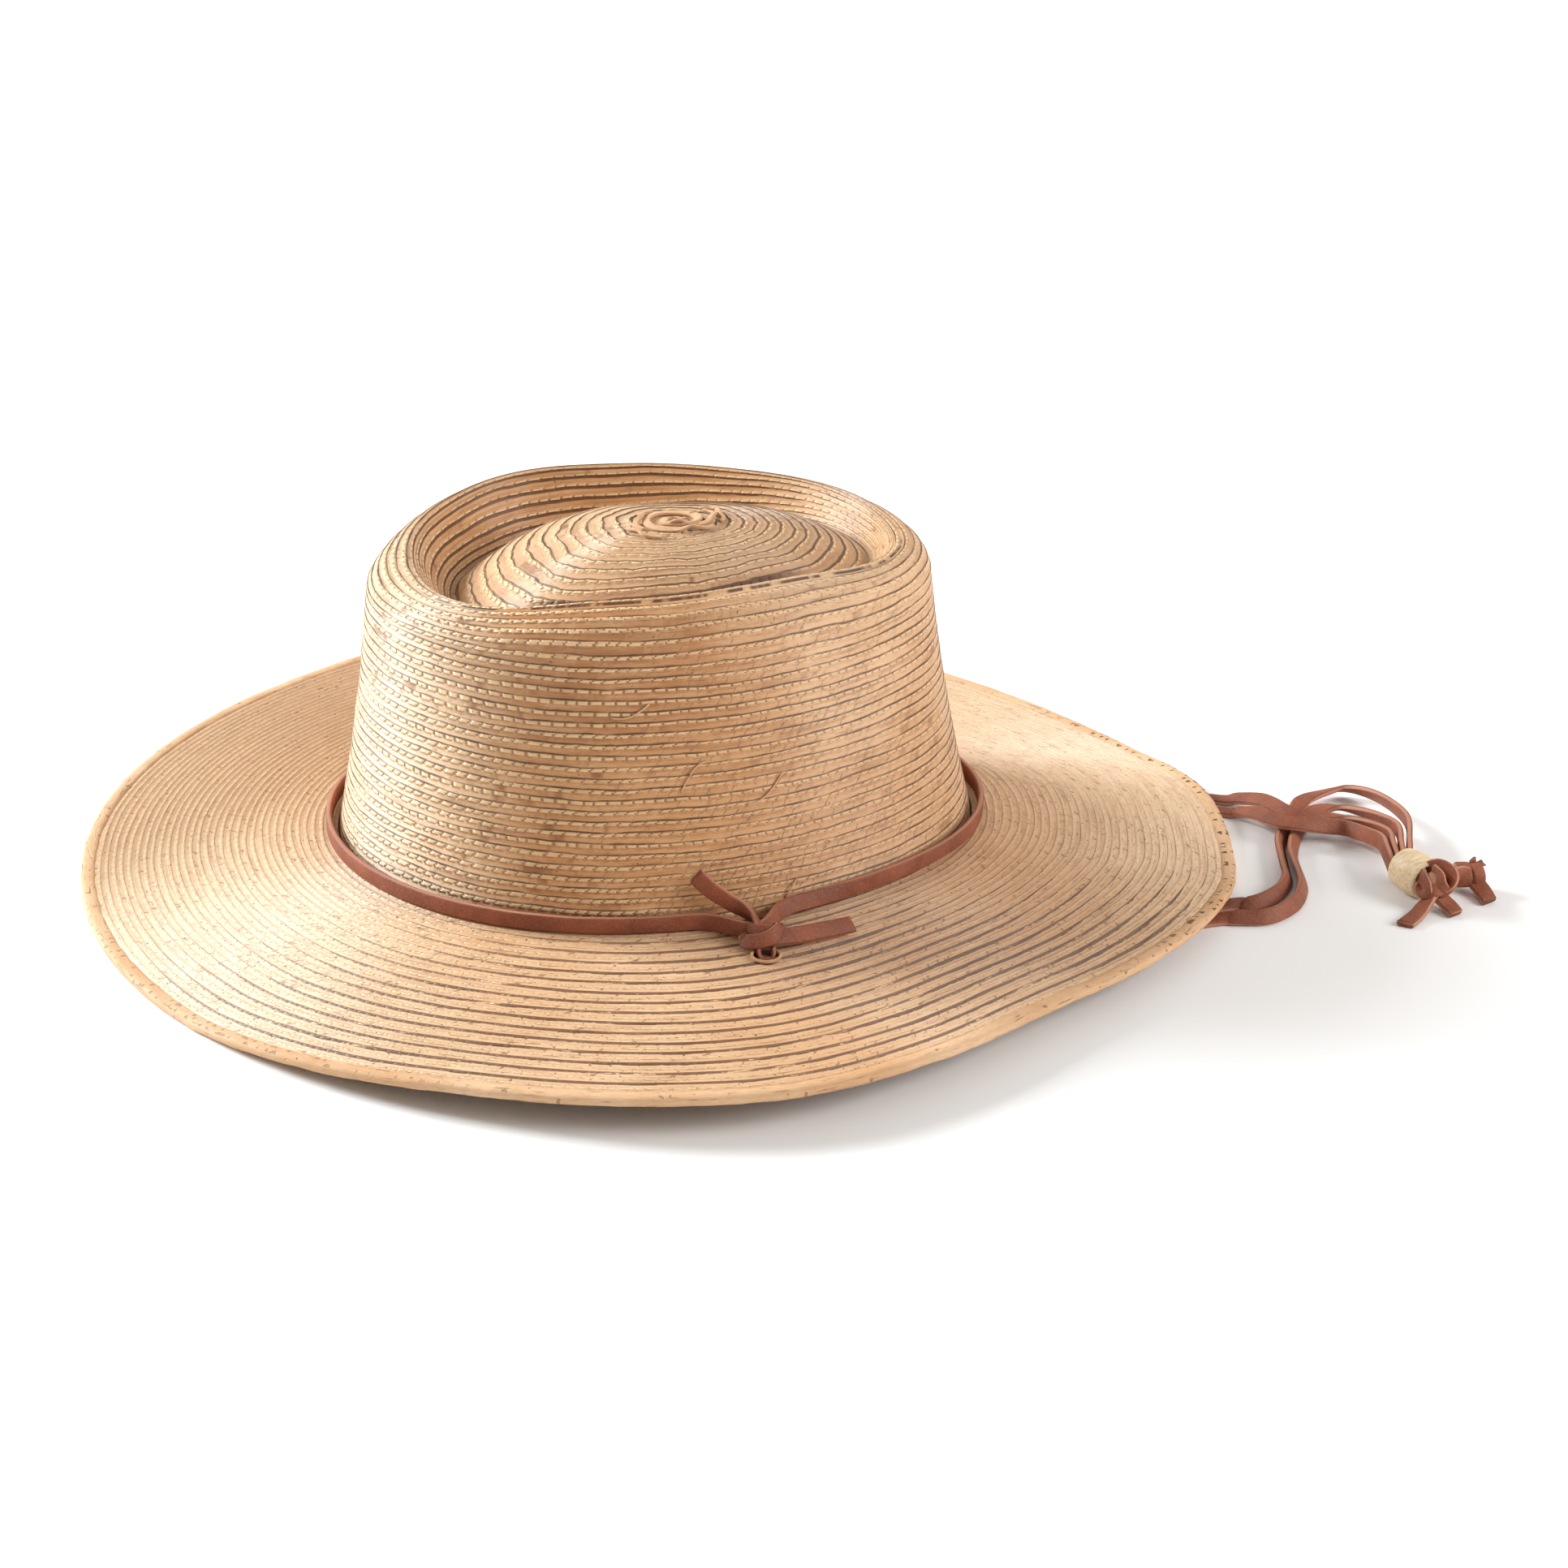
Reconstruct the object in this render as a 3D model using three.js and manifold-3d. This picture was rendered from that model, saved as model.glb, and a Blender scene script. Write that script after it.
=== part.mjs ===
// Rancher hat: a crown and brim of sewn straw braid, a whipped hem round the brim, a leather
// lace knotted round the crown as its band, and a leather chin lace with a wooden bead.
// Millimetres, +Z up, +X to the front of the hat, +Y to its far side. The origin is the
// middle of the brim's outline, on the surface that the hat rests on.

import * as THREE from "three";
import { mergeVertices } from "three/addons/utils/BufferGeometryUtils.js";
import Module from "manifold-3d";

const wasm = await Module();
wasm.setup();

// Fit and fineness
const CLEARANCE = 0.3;
const AROUND_STEPS = 72;
const HEM_SIDES = 8;
const BORE_SIDES = 16;
const KNOT_SIDES = 12;
const KNOT_RINGS = 6;
const MERGE_DISTANCE = 0.0001;

// Crown: foot outline, walls and top
const CROWN_CENTRE = new THREE.Vector2(-1.6, 0.3);
const FOOT_HALF_LENGTH = 99.6;
const FOOT_HALF_WIDTH = 81.2;
const FOOT_EGG = 0.078;
const STRAW_THICKNESS = 2;
const FOOT_HEIGHT = 13.4;
const WALL_HEIGHT = 78;
const WALL_HOLLOW = 0.35;
const WALL_STEPS = 5;
const SHOULDER_STEPS = 4;
const CREASE_STEPS = 3;
const DOME_HEIGHT = 98;
const DOME_FULLNESS = 2.5;
const DOME_OFFSET = new THREE.Vector2(4, -8);
const DOME_STEPS = [0.8, 0.45, 0];

// One row per direction from the crown's centre, 0 to the front and 90 to the far side.
// lean: wall reach at its top over the foot's. ridge: reach and height of the crease's rim.
// crease_in, crease_drop: how far the bottom of the crease lies inside and below that rim.
const CROWN_ROWS = [
  { angle: 0, lean: 0.837, ridge_reach: 71.0, ridge_height: 90.7, crease_in: 8, crease_drop: 7 },
  { angle: 30, lean: 0.845, ridge_reach: 69.2, ridge_height: 92.0, crease_in: 11, crease_drop: 9 },
  { angle: 60, lean: 0.858, ridge_reach: 64.0, ridge_height: 92.7, crease_in: 13, crease_drop: 13 },
  { angle: 90, lean: 0.87, ridge_reach: 65.3, ridge_height: 92.7, crease_in: 14, crease_drop: 17 },
  { angle: 120, lean: 0.876, ridge_reach: 73.5, ridge_height: 91.8, crease_in: 15, crease_drop: 18 },
  { angle: 150, lean: 0.878, ridge_reach: 77.2, ridge_height: 88.0, crease_in: 15, crease_drop: 16 },
  { angle: 180, lean: 0.891, ridge_reach: 75.5, ridge_height: 85.1, crease_in: 14, crease_drop: 13 },
  { angle: 210, lean: 0.89, ridge_reach: 74.3, ridge_height: 87.5, crease_in: 13, crease_drop: 14 },
  { angle: 240, lean: 0.883, ridge_reach: 63.2, ridge_height: 92.1, crease_in: 10, crease_drop: 14 },
  { angle: 270, lean: 0.871, ridge_reach: 57.4, ridge_height: 93.7, crease_in: 8, crease_drop: 13 },
  { angle: 300, lean: 0.857, ridge_reach: 58.1, ridge_height: 93.9, crease_in: 7, crease_drop: 11 },
  { angle: 330, lean: 0.843, ridge_reach: 68.7, ridge_height: 92.1, crease_in: 8, crease_drop: 8 },
];

// Brim and hem
const HEM_WIDTH = 5;
const HEM_THICKNESS = 3.6;
const BRIM_SPANS = 4;
const BRIM_DISH = 1.2;
const EYELET_RADIUS = 4;
const EYELET_PUNCH_LENGTH = 30;
const NEAR_EYELET = new THREE.Vector2(8.8, -101);
const FAR_EYELET = new THREE.Vector2(8.8, 101);

// One row per direction: outer reach of the hem, and the height of the hem's middle.
// Two low stretches at the front and one at the back lie on the surface.
const BRIM_ROWS = [
  { angle: 0, reach: 182.4, height: 4.8 },
  { angle: 15, reach: 177.9, height: 1.7 },
  { angle: 30, reach: 171.8, height: 3.6 },
  { angle: 45, reach: 166.5, height: 7.0 },
  { angle: 60, reach: 164.1, height: 9.5 },
  { angle: 75, reach: 169.6, height: 10.7 },
  { angle: 90, reach: 176.0, height: 10.9 },
  { angle: 105, reach: 176.2, height: 9.6 },
  { angle: 120, reach: 175.5, height: 7.7 },
  { angle: 135, reach: 177.4, height: 5.6 },
  { angle: 150, reach: 179.4, height: 3.8 },
  { angle: 165, reach: 179.7, height: 3.1 },
  { angle: 180, reach: 179.3, height: 2.6 },
  { angle: 195, reach: 178.7, height: 1.7 },
  { angle: 210, reach: 177.9, height: 1.7 },
  { angle: 225, reach: 176.8, height: 4.8 },
  { angle: 240, reach: 175.9, height: 8.4 },
  { angle: 255, reach: 176.9, height: 10.3 },
  { angle: 270, reach: 176.6, height: 10.9 },
  { angle: 285, reach: 169.4, height: 10.3 },
  { angle: 300, reach: 163.7, height: 9.2 },
  { angle: 315, reach: 169.1, height: 8.8 },
  { angle: 330, reach: 176.8, height: 7.8 },
  { angle: 345, reach: 181.1, height: 1.7 },
];

// Leather lace, and how the hat band lies round the crown
const LACE_WIDTH = 5;
const LACE_THICKNESS = 1.8;
const LACE_CORNER = 0.5;
const WRAP_WIDTH = 4;
const WRAP_SWELL = 1.04;
const BAND_END_STANDOFF = 1.9;
const BAND_RISE = 1.6;
const BAND_RISE_ANGLE = 315;
const BAND_RISE_SPREAD = 28;
const BAND_KNOT_ANGLE = 276.2;
const BAND_KNOT_REACH = 10.6;
const BAND_KNOT_SPREAD = 5.5;
const BAND_KNOT = { x: 8.4, y: -96.4, z: 15.9, length: 9.6, depth: 5.6, height: 6.4 };

// Tails of the hat band. lean: how far the lace's face stands up from flat, in degrees.
const WALL_TAIL = [
  { x: 9.2, y: -95.2, z: 17.8, lean: 40 },
  { x: 8.2, y: -89.2, z: 19.0, lean: 62 },
  { x: 5.4, y: -85.2, z: 20.3, lean: 80 },
  { x: 1.4, y: -83.4, z: 22.4, lean: 84 },
  { x: -3.6, y: -82.6, z: 26.2, lean: 84 },
  { x: -7.8, y: -82.2, z: 30.6, lean: 84 },
];
const BRIM_TAIL = [
  { x: 10.5, y: -97.4, z: 16, lean: 20 },
  { x: 15.5, y: -96.6, z: 15.4, lean: 10 },
  { x: 22.5, y: -95, z: 14.7, lean: 0 },
  { x: 29.5, y: -93.2, z: 14.6, lean: 0 },
  { x: 36.5, y: -91.4, z: 14.6, lean: 0 },
];

// Chin lace. Each route is the middle of a strand, from above its eyelet down to the surface,
// out under the brim and to the bead. lean: how far its face stands up from flat, in degrees.
const CHIN_ROUTES = {
  chin_lace_near_a: [
    { x: 10.0, y: -101.0, z: 12.2, lean: 0 },
    { x: 10.4, y: -101.0, z: 8.0, lean: 0 },
    { x: 14.6, y: -100.7, z: 4.6, lean: 0 },
    { x: 24.0, y: -99.6, z: 3.2, lean: 0 },
    { x: 40.0, y: -94.4, z: 2.6, lean: 0 },
    { x: 64.0, y: -89.2, z: 0.9, lean: 0 },
    { x: 112.0, y: -80.0, z: 0.9, lean: 0 },
    { x: 159.5, y: -73.5, z: 1.1, lean: 5 },
    { x: 165.9, y: -75.7, z: 2.0, lean: 30 },
    { x: 171.8, y: -74.7, z: 2.5, lean: 50 },
    { x: 178.7, y: -69.7, z: 2.6, lean: 60 },
    { x: 183.9, y: -62.6, z: 2.6, lean: 60 },
    { x: 186.3, y: -54.8, z: 2.6, lean: 60 },
    { x: 191.2, y: -39.0, z: 2.6, lean: 60 },
    { x: 195.3, y: -31.7, z: 2.6, lean: 60 },
    { x: 200.2, y: -24.6, z: 2.6, lean: 60 },
    { x: 205.1, y: -16.7, z: 2.6, lean: 40 },
    { x: 212.0, y: -8.3, z: 2.6, lean: 5 },
    { x: 220.4, y: -4.5, z: 2.8, lean: -20 },
    { x: 228.9, y: -4.4, z: 3.6, lean: -35 },
    { x: 234.7, y: -16.5, z: 5.2, lean: -60 },
    { x: 234.3, y: -37.5, z: 7.0, lean: -80 },
    { x: 225.4, y: -58.6, z: 8.5, lean: -88 },
    { x: 222.0, y: -66.6, z: 6.7, lean: -90 },
  ],
  chin_lace_near_b: [
    { x: 7.7, y: -101.1, z: 12.2, lean: 0 },
    { x: 7.9, y: -101.1, z: 7.0, lean: 0 },
    { x: 11.0, y: -101.6, z: 2.7, lean: 0 },
    { x: 20.0, y: -102.8, z: 0.9, lean: 0 },
    { x: 62.0, y: -97.2, z: 0.9, lean: 0 },
    { x: 108.0, y: -88.8, z: 0.9, lean: 0 },
    { x: 150.5, y: -82.5, z: 1.1, lean: 5 },
    { x: 159.0, y: -83.8, z: 2.0, lean: 30 },
    { x: 167.3, y: -85.6, z: 2.5, lean: 50 },
    { x: 174.5, y: -82.8, z: 2.6, lean: 60 },
    { x: 180.8, y: -77.5, z: 2.6, lean: 60 },
    { x: 185.2, y: -70.9, z: 2.6, lean: 60 },
    { x: 188.1, y: -64.0, z: 2.6, lean: 60 },
    { x: 191.8, y: -48.7, z: 2.6, lean: 60 },
    { x: 194.3, y: -42.0, z: 2.6, lean: 60 },
    { x: 198.1, y: -34.8, z: 2.6, lean: 60 },
    { x: 203.0, y: -27.0, z: 2.6, lean: 60 },
    { x: 208.6, y: -19.9, z: 2.6, lean: 40 },
    { x: 213.7, y: -16.4, z: 2.6, lean: 10 },
    { x: 218.9, y: -15.9, z: 2.8, lean: -15 },
    { x: 223.4, y: -19.7, z: 3.5, lean: -35 },
    { x: 227.4, y: -31.5, z: 5.5, lean: -60 },
    { x: 228.2, y: -44.4, z: 7.2, lean: -80 },
    { x: 222.3, y: -59.2, z: 8.5, lean: -88 },
    { x: 219.8, y: -67.1, z: 6.7, lean: -90 },
  ],
  chin_lace_far_a: [
    { x: 10.0, y: 101.0, z: 12.2, lean: 0 },
    { x: 10.4, y: 101.0, z: 8.0, lean: 0 },
    { x: 14.6, y: 100.6, z: 4.6, lean: 0 },
    { x: 24.0, y: 98.8, z: 2.8, lean: 0 },
    { x: 40.0, y: 92.0, z: 0.9, lean: 0 },
    { x: 100.0, y: 58.4, z: 0.9, lean: 0 },
    { x: 142.0, y: 30.0, z: 0.9, lean: 0 },
    { x: 183.5, y: 2.3, z: 0.9, lean: 0 },
    { x: 191.3, y: -2.4, z: 2.4, lean: 16 },
    { x: 195.9, y: -10.0, z: 5.0, lean: 30 },
    { x: 196.9, y: -18.0, z: 6.8, lean: 30 },
    { x: 198.2, y: -25.4, z: 7.5, lean: 25 },
    { x: 200.8, y: -28.5, z: 7.5, lean: 25 },
    { x: 205.0, y: -29.2, z: 6.9, lean: 20 },
    { x: 212.0, y: -27.5, z: 5.4, lean: 0 },
    { x: 218.2, y: -30.0, z: 5.2, lean: -30 },
    { x: 221.9, y: -39.1, z: 6.4, lean: -60 },
    { x: 223.2, y: -49.0, z: 7.5, lean: -80 },
    { x: 219.4, y: -59.9, z: 8.5, lean: -88 },
    { x: 217.7, y: -67.6, z: 6.7, lean: -90 },
  ],
  chin_lace_far_b: [
    { x: 7.7, y: 101.0, z: 12.2, lean: 0 },
    { x: 7.9, y: 101.0, z: 7.0, lean: 0 },
    { x: 11.0, y: 100.0, z: 2.7, lean: 0 },
    { x: 20.0, y: 95.2, z: 0.9, lean: 0 },
    { x: 56.0, y: 76.4, z: 0.9, lean: 0 },
    { x: 96.0, y: 52.0, z: 0.9, lean: 0 },
    { x: 138.0, y: 23.0, z: 0.9, lean: 0 },
    { x: 181.8, y: -7.1, z: 0.9, lean: 0 },
    { x: 187.8, y: -11.3, z: 2.0, lean: 12 },
    { x: 191.2, y: -18.9, z: 4.6, lean: 28 },
    { x: 192.0, y: -27.4, z: 6.6, lean: 30 },
    { x: 194.1, y: -32.8, z: 7.5, lean: 25 },
    { x: 197.7, y: -34.7, z: 7.5, lean: 25 },
    { x: 202.0, y: -34.9, z: 6.9, lean: 40 },
    { x: 209.2, y: -33.9, z: 5.2, lean: 60 },
    { x: 215.2, y: -35.7, z: 4.7, lean: 70 },
    { x: 217.8, y: -45.1, z: 6.4, lean: 76 },
    { x: 218.8, y: -52.6, z: 7.6, lean: 84 },
    { x: 216.6, y: -60.6, z: 8.5, lean: 88 },
    { x: 215.5, y: -68.1, z: 6.7, lean: 90 },
  ],
};

// Bead and knots
const BEAD_CENTRE = new THREE.Vector3(220.4, -74.2, 6.8);
const BEAD_HEADING = -76;
const BEAD_LENGTH = 12;
const BEAD_RADIUS = 6.7;
const BEAD_END_RADIUS = 5.9;
const BEAD_BORE_RADIUS = 4.6;
const BEAD_EDGE = 0.6;
const BUNDLE_RADIUS = 4.2;
const BUNDLE_REACH = 2.6;
const END_KNOT_A = [
  { x: 226.6, y: -83.3, z: 9.2, length: 8.8, depth: 7.4, height: 8 },
  { x: 221.8, y: -84.9, z: 4.4, length: 7.8, depth: 6, height: 6.6 },
];
const END_KNOT_B = [{ x: 237.6, y: -75.6, z: 5.4, length: 9, depth: 8, height: 7.8 }];
const FAR_KNOT = { x: 8.8, y: 101, z: 16.1, length: 10.4, depth: 9.6, height: 6.4 };
const END_TAILS = {
  end_knot_a: [
    [
      { x: 221, y: -85.4, z: 4.4, lean: 35 },
      { x: 217.6, y: -88, z: 2.8, lean: 20 },
      { x: 213.6, y: -91.2, z: 1.3, lean: 5 },
      { x: 208, y: -95.8, z: 1.1, lean: 0 },
    ],
    [
      { x: 223.4, y: -85.6, z: 4, lean: 20 },
      { x: 225.4, y: -88.2, z: 2.2, lean: 10 },
      { x: 226.2, y: -92, z: 1.1, lean: 0 },
    ],
  ],
  end_knot_b: [
    [
      { x: 238.6, y: -77, z: 4.2, lean: 30 },
      { x: 240, y: -80.4, z: 2.4, lean: 15 },
      { x: 240, y: -86, z: 1.1, lean: 0 },
    ],
    [
      { x: 236, y: -76.6, z: 6.2, lean: 60 },
      { x: 233.4, y: -78.6, z: 7.6, lean: 70 },
      { x: 230.4, y: -80.8, z: 8.5, lean: 75 },
    ],
  ],
};

const STRAW = new THREE.MeshStandardMaterial({ color: 0xd9bd8f, roughness: 0.75, metalness: 0 });
const LEATHER = new THREE.MeshStandardMaterial({ color: 0x7d4a35, roughness: 0.6, metalness: 0 });
const WOOD = new THREE.MeshStandardMaterial({ color: 0xe3cfa6, roughness: 0.5, metalness: 0 });

const UP = new THREE.Vector3(0, 0, 1);
const hat = new THREE.Group();

function addPiece(name, geometry, material) {
  const mesh = new THREE.Mesh(geometry, material);
  mesh.name = name;
  hat.add(mesh);
}

// Value of one column of a table that goes once round the hat, at any direction in degrees
function around(rows, column, angle) {
  const step = 360 / rows.length;
  const place = (((angle % 360) + 360) % 360) / step;
  const index = Math.floor(place);
  const t = place - index;
  const at = (offset) => rows[(index + offset + rows.length) % rows.length][column];
  const [a, b, c, d] = [at(-1), at(0), at(1), at(2)];
  const slope = (c - a) / 2;
  const nextSlope = (d - b) / 2;
  const bend = 3 * (c - b) - 2 * slope - nextSlope;
  const twist = 2 * (b - c) + slope + nextSlope;
  return b + t * (slope + t * (bend + t * twist));
}

// Closed body from sections that go round the hat. sectionAt gives the same number of
// {reach, height} corners for each direction, anticlockwise with reach to the right.
function bodyOfSections(sectionAt) {
  const positions = [];
  let corners = 0;
  for (let step = 0; step < AROUND_STEPS; step += 1) {
    const angle = (360 * step) / AROUND_STEPS;
    const section = sectionAt(angle);
    corners = section.length;
    for (const corner of section) {
      const point = hatPoint(angle, corner.reach, corner.height, corner.shift ?? 0);
      positions.push(point.x, point.y, point.z);
    }
  }
  const index = [];
  for (let step = 0; step < AROUND_STEPS; step += 1) {
    const here = step * corners;
    const next = ((step + 1) % AROUND_STEPS) * corners;
    for (let corner = 0; corner < corners; corner += 1) {
      const above = (corner + 1) % corners;
      index.push(here + corner, next + corner, next + above);
      index.push(here + corner, next + above, here + above);
    }
  }
  const geometry = new THREE.BufferGeometry();
  geometry.setAttribute("position", new THREE.Float32BufferAttribute(positions, 3));
  geometry.setIndex(index);
  return withoutFlatTriangles(geometry);
}

// Point at a reach from the crown's centre. shift moves it towards the dome's own centre.
function hatPoint(angle, reach, height, shift) {
  const radians = THREE.MathUtils.degToRad(angle);
  return new THREE.Vector3(
    CROWN_CENTRE.x + reach * Math.cos(radians) + shift * DOME_OFFSET.x,
    CROWN_CENTRE.y + reach * Math.sin(radians) + shift * DOME_OFFSET.y,
    height,
  );
}

// Merged copy of a geometry, without the triangles that shrink to a line at its poles
function withoutFlatTriangles(geometry) {
  const bare = geometry.clone();
  bare.deleteAttribute("normal");
  bare.deleteAttribute("uv");
  const merged = mergeVertices(bare, MERGE_DISTANCE);
  const index = merged.index.array;
  const kept = [];
  for (let first = 0; first < index.length; first += 3) {
    const [a, b, c] = [index[first], index[first + 1], index[first + 2]];
    if (a !== b && b !== c && c !== a) {
      kept.push(a, b, c);
    }
  }
  merged.setIndex(kept);
  return merged;
}

function toSolid(geometry) {
  const merged = withoutFlatTriangles(geometry);
  return new wasm.Manifold(new wasm.Mesh({
    numProp: 3,
    vertProperties: new Float32Array(merged.attributes.position.array),
    triVerts: new Uint32Array(merged.index.array),
  }));
}

function toGeometry(solid) {
  const mesh = solid.getMesh();
  const geometry = new THREE.BufferGeometry();
  geometry.setAttribute("position", new THREE.Float32BufferAttribute(mesh.vertProperties, 3));
  geometry.setIndex(Array.from(mesh.triVerts));
  return geometry;
}

// Egg outline of the crown's foot: narrower to the front
function footReach(angle) {
  const radians = THREE.MathUtils.degToRad(angle);
  const c = Math.cos(radians);
  const s = Math.sin(radians);
  const ellipse = (FOOT_HALF_LENGTH * FOOT_HALF_WIDTH)
    / Math.hypot(FOOT_HALF_WIDTH * c, FOOT_HALF_LENGTH * s);
  return ellipse * (1 - FOOT_EGG * c * s * s);
}

// Outer reach of the crown's wall at a height over the brim
function wallReach(angle, height) {
  const rise = Math.max(0, height / WALL_HEIGHT);
  const inward = rise + WALL_HOLLOW * rise * (1 - rise);
  return footReach(angle) * (1 - (1 - around(CROWN_ROWS, "lean", angle)) * inward);
}

// Outside of the crown along one direction, from its lower rim up and in to the dome's top
function crownOutside(angle) {
  const section = [{ reach: footReach(angle), height: -STRAW_THICKNESS, shift: 0 }];
  for (let step = 0; step <= WALL_STEPS; step += 1) {
    const height = (WALL_HEIGHT * step) / WALL_STEPS;
    section.push({ reach: wallReach(angle, height), height, shift: 0 });
  }
  const wall = section[section.length - 1];
  const ridge = {
    reach: around(CROWN_ROWS, "ridge_reach", angle),
    height: around(CROWN_ROWS, "ridge_height", angle),
  };
  for (let step = 1; step <= SHOULDER_STEPS; step += 1) {
    const turn = (Math.PI / 2) * (step / SHOULDER_STEPS);
    section.push({
      reach: wall.reach + (ridge.reach - wall.reach) * (1 - Math.cos(turn)),
      height: wall.height + (ridge.height - wall.height) * Math.sin(turn),
      shift: 0,
    });
  }
  const crease = {
    reach: ridge.reach - around(CROWN_ROWS, "crease_in", angle),
    height: ridge.height - around(CROWN_ROWS, "crease_drop", angle),
  };
  for (let step = 1; step <= CREASE_STEPS; step += 1) {
    const t = step / CREASE_STEPS;
    section.push({
      reach: ridge.reach + (crease.reach - ridge.reach) * t,
      height: ridge.height + (crease.height - ridge.height) * t * t * (3 - 2 * t),
      shift: 0,
    });
  }
  for (const share of DOME_STEPS) {
    section.push({
      reach: crease.reach * share,
      height: crease.height + (DOME_HEIGHT - crease.height) * (1 - share ** DOME_FULLNESS),
      shift: 1 - share,
    });
  }
  return section;
}

// The same section moved in by the straw's thickness, square to the outside
function crownInside(outside) {
  return outside.map((corner, index) => {
    const before = outside[Math.max(0, index - 1)];
    const after = outside[Math.min(outside.length - 1, index + 1)];
    const run = after.reach - before.reach;
    const rise = after.height - before.height;
    const length = Math.hypot(run, rise);
    if (corner.reach === 0) {
      return { reach: 0, height: corner.height - STRAW_THICKNESS, shift: corner.shift };
    }
    if (index === 0) {
      return { reach: corner.reach - STRAW_THICKNESS, height: corner.height, shift: 0 };
    }
    return {
      reach: corner.reach - (STRAW_THICKNESS * rise) / length,
      height: corner.height + (STRAW_THICKNESS * run) / length,
      shift: corner.shift,
    };
  });
}

// Crown as one wall: outside up to the dome's top, then the inside back down to the rim
function crownGeometry() {
  return bodyOfSections((angle) => {
    const outside = crownOutside(angle);
    const inside = crownInside(outside).reverse();
    return [...outside, ...inside].map((corner) => ({
      ...corner,
      height: FOOT_HEIGHT + corner.height,
    }));
  });
}

// Middle of the hem, never lower than half its thickness over the surface
function hemMiddle(angle) {
  return {
    reach: around(BRIM_ROWS, "reach", angle) - HEM_WIDTH / 2,
    height: Math.max(HEM_THICKNESS / 2, around(BRIM_ROWS, "height", angle)),
  };
}

// Height of the brim's upper face at a share of the way from the crown to the hem
function brimTop(angle, share) {
  const outer = hemMiddle(angle).height + STRAW_THICKNESS / 2;
  const dish = BRIM_DISH * Math.cos(THREE.MathUtils.degToRad(2 * angle));
  return FOOT_HEIGHT + (outer - FOOT_HEIGHT) * share + 4 * dish * share * (1 - share);
}

// Brim plate between crown and hem, with an eyelet on each side
function brimGeometry() {
  const plate = bodyOfSections((angle) => {
    const inner = footReach(angle) + CLEARANCE;
    const outer = hemMiddle(angle).reach - HEM_WIDTH / 2 - CLEARANCE;
    const upper = [];
    const lower = [];
    for (let span = 0; span <= BRIM_SPANS; span += 1) {
      const share = span / BRIM_SPANS;
      const reach = inner + (outer - inner) * share;
      const height = brimTop(angle, share);
      upper.unshift({ reach, height });
      lower.push({ reach, height: height - STRAW_THICKNESS });
    }
    return [...lower, ...upper];
  });
  const holes = [NEAR_EYELET, FAR_EYELET].map((eyelet) => {
    const punch = new THREE.CylinderGeometry(
      EYELET_RADIUS,
      EYELET_RADIUS,
      EYELET_PUNCH_LENGTH,
      BORE_SIDES,
    );
    punch.rotateX(Math.PI / 2);
    punch.translate(eyelet.x, eyelet.y, FOOT_HEIGHT);
    return toSolid(punch);
  });
  return toGeometry(toSolid(plate).subtract(holes[0]).subtract(holes[1]));
}

// Rolled hem: an eight-sided section with flats at its top and bottom
function hemGeometry() {
  return bodyOfSections((angle) => {
    const middle = hemMiddle(angle);
    const section = [];
    for (let side = 0; side < HEM_SIDES; side += 1) {
      const turn = (2 * Math.PI * (side + 0.5)) / HEM_SIDES;
      const flat = 1 / Math.cos(Math.PI / HEM_SIDES);
      section.push({
        reach: middle.reach + (HEM_WIDTH / 2) * flat * Math.cos(turn),
        height: middle.height + (HEM_THICKNESS / 2) * flat * Math.sin(turn),
      });
    }
    return section;
  });
}

// Flat lace section with its corners cut, x across the face and y through the thickness
function laceCorners(width, thickness) {
  const x = width / 2;
  const y = thickness / 2;
  return [
    new THREE.Vector2(x, -y + LACE_CORNER),
    new THREE.Vector2(x, y - LACE_CORNER),
    new THREE.Vector2(x - LACE_CORNER, y),
    new THREE.Vector2(-x + LACE_CORNER, y),
    new THREE.Vector2(-x, y - LACE_CORNER),
    new THREE.Vector2(-x, -y + LACE_CORNER),
    new THREE.Vector2(-x + LACE_CORNER, -y),
    new THREE.Vector2(x - LACE_CORNER, -y),
  ];
}

// Route of a flat lace through the rows of a table, turned on its run by each row's lean
class LaceRoute extends THREE.Curve {
  constructor(rows) {
    super();
    this.rows = rows;
    this.stations = rows.map((row) => new THREE.Vector3(row.x, row.y, row.z));
  }

  getSpacedPoints() {
    return this.stations;
  }

  computeFrenetFrames() {
    const tangents = [];
    const normals = [];
    const binormals = [];
    const last = this.stations.length - 1;
    this.rows.forEach((row, index) => {
      const before = this.stations[Math.max(0, index - 1)];
      const after = this.stations[Math.min(last, index + 1)];
      const tangent = after.clone().sub(before).normalize();
      const across = new THREE.Vector3().crossVectors(tangent, UP).normalize();
      across.applyAxisAngle(tangent, THREE.MathUtils.degToRad(row.lean));
      tangents.push(tangent);
      normals.push(across);
      binormals.push(new THREE.Vector3().crossVectors(tangent, across).normalize());
    });
    return { tangents, normals, binormals };
  }
}

// Lace along the rows of a table
function laceGeometry(rows) {
  const route = new LaceRoute(rows);
  const section = new THREE.Shape(laceCorners(LACE_WIDTH, LACE_THICKNESS));
  return new THREE.ExtrudeGeometry(section, { steps: rows.length - 1, extrudePath: route });
}

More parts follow.
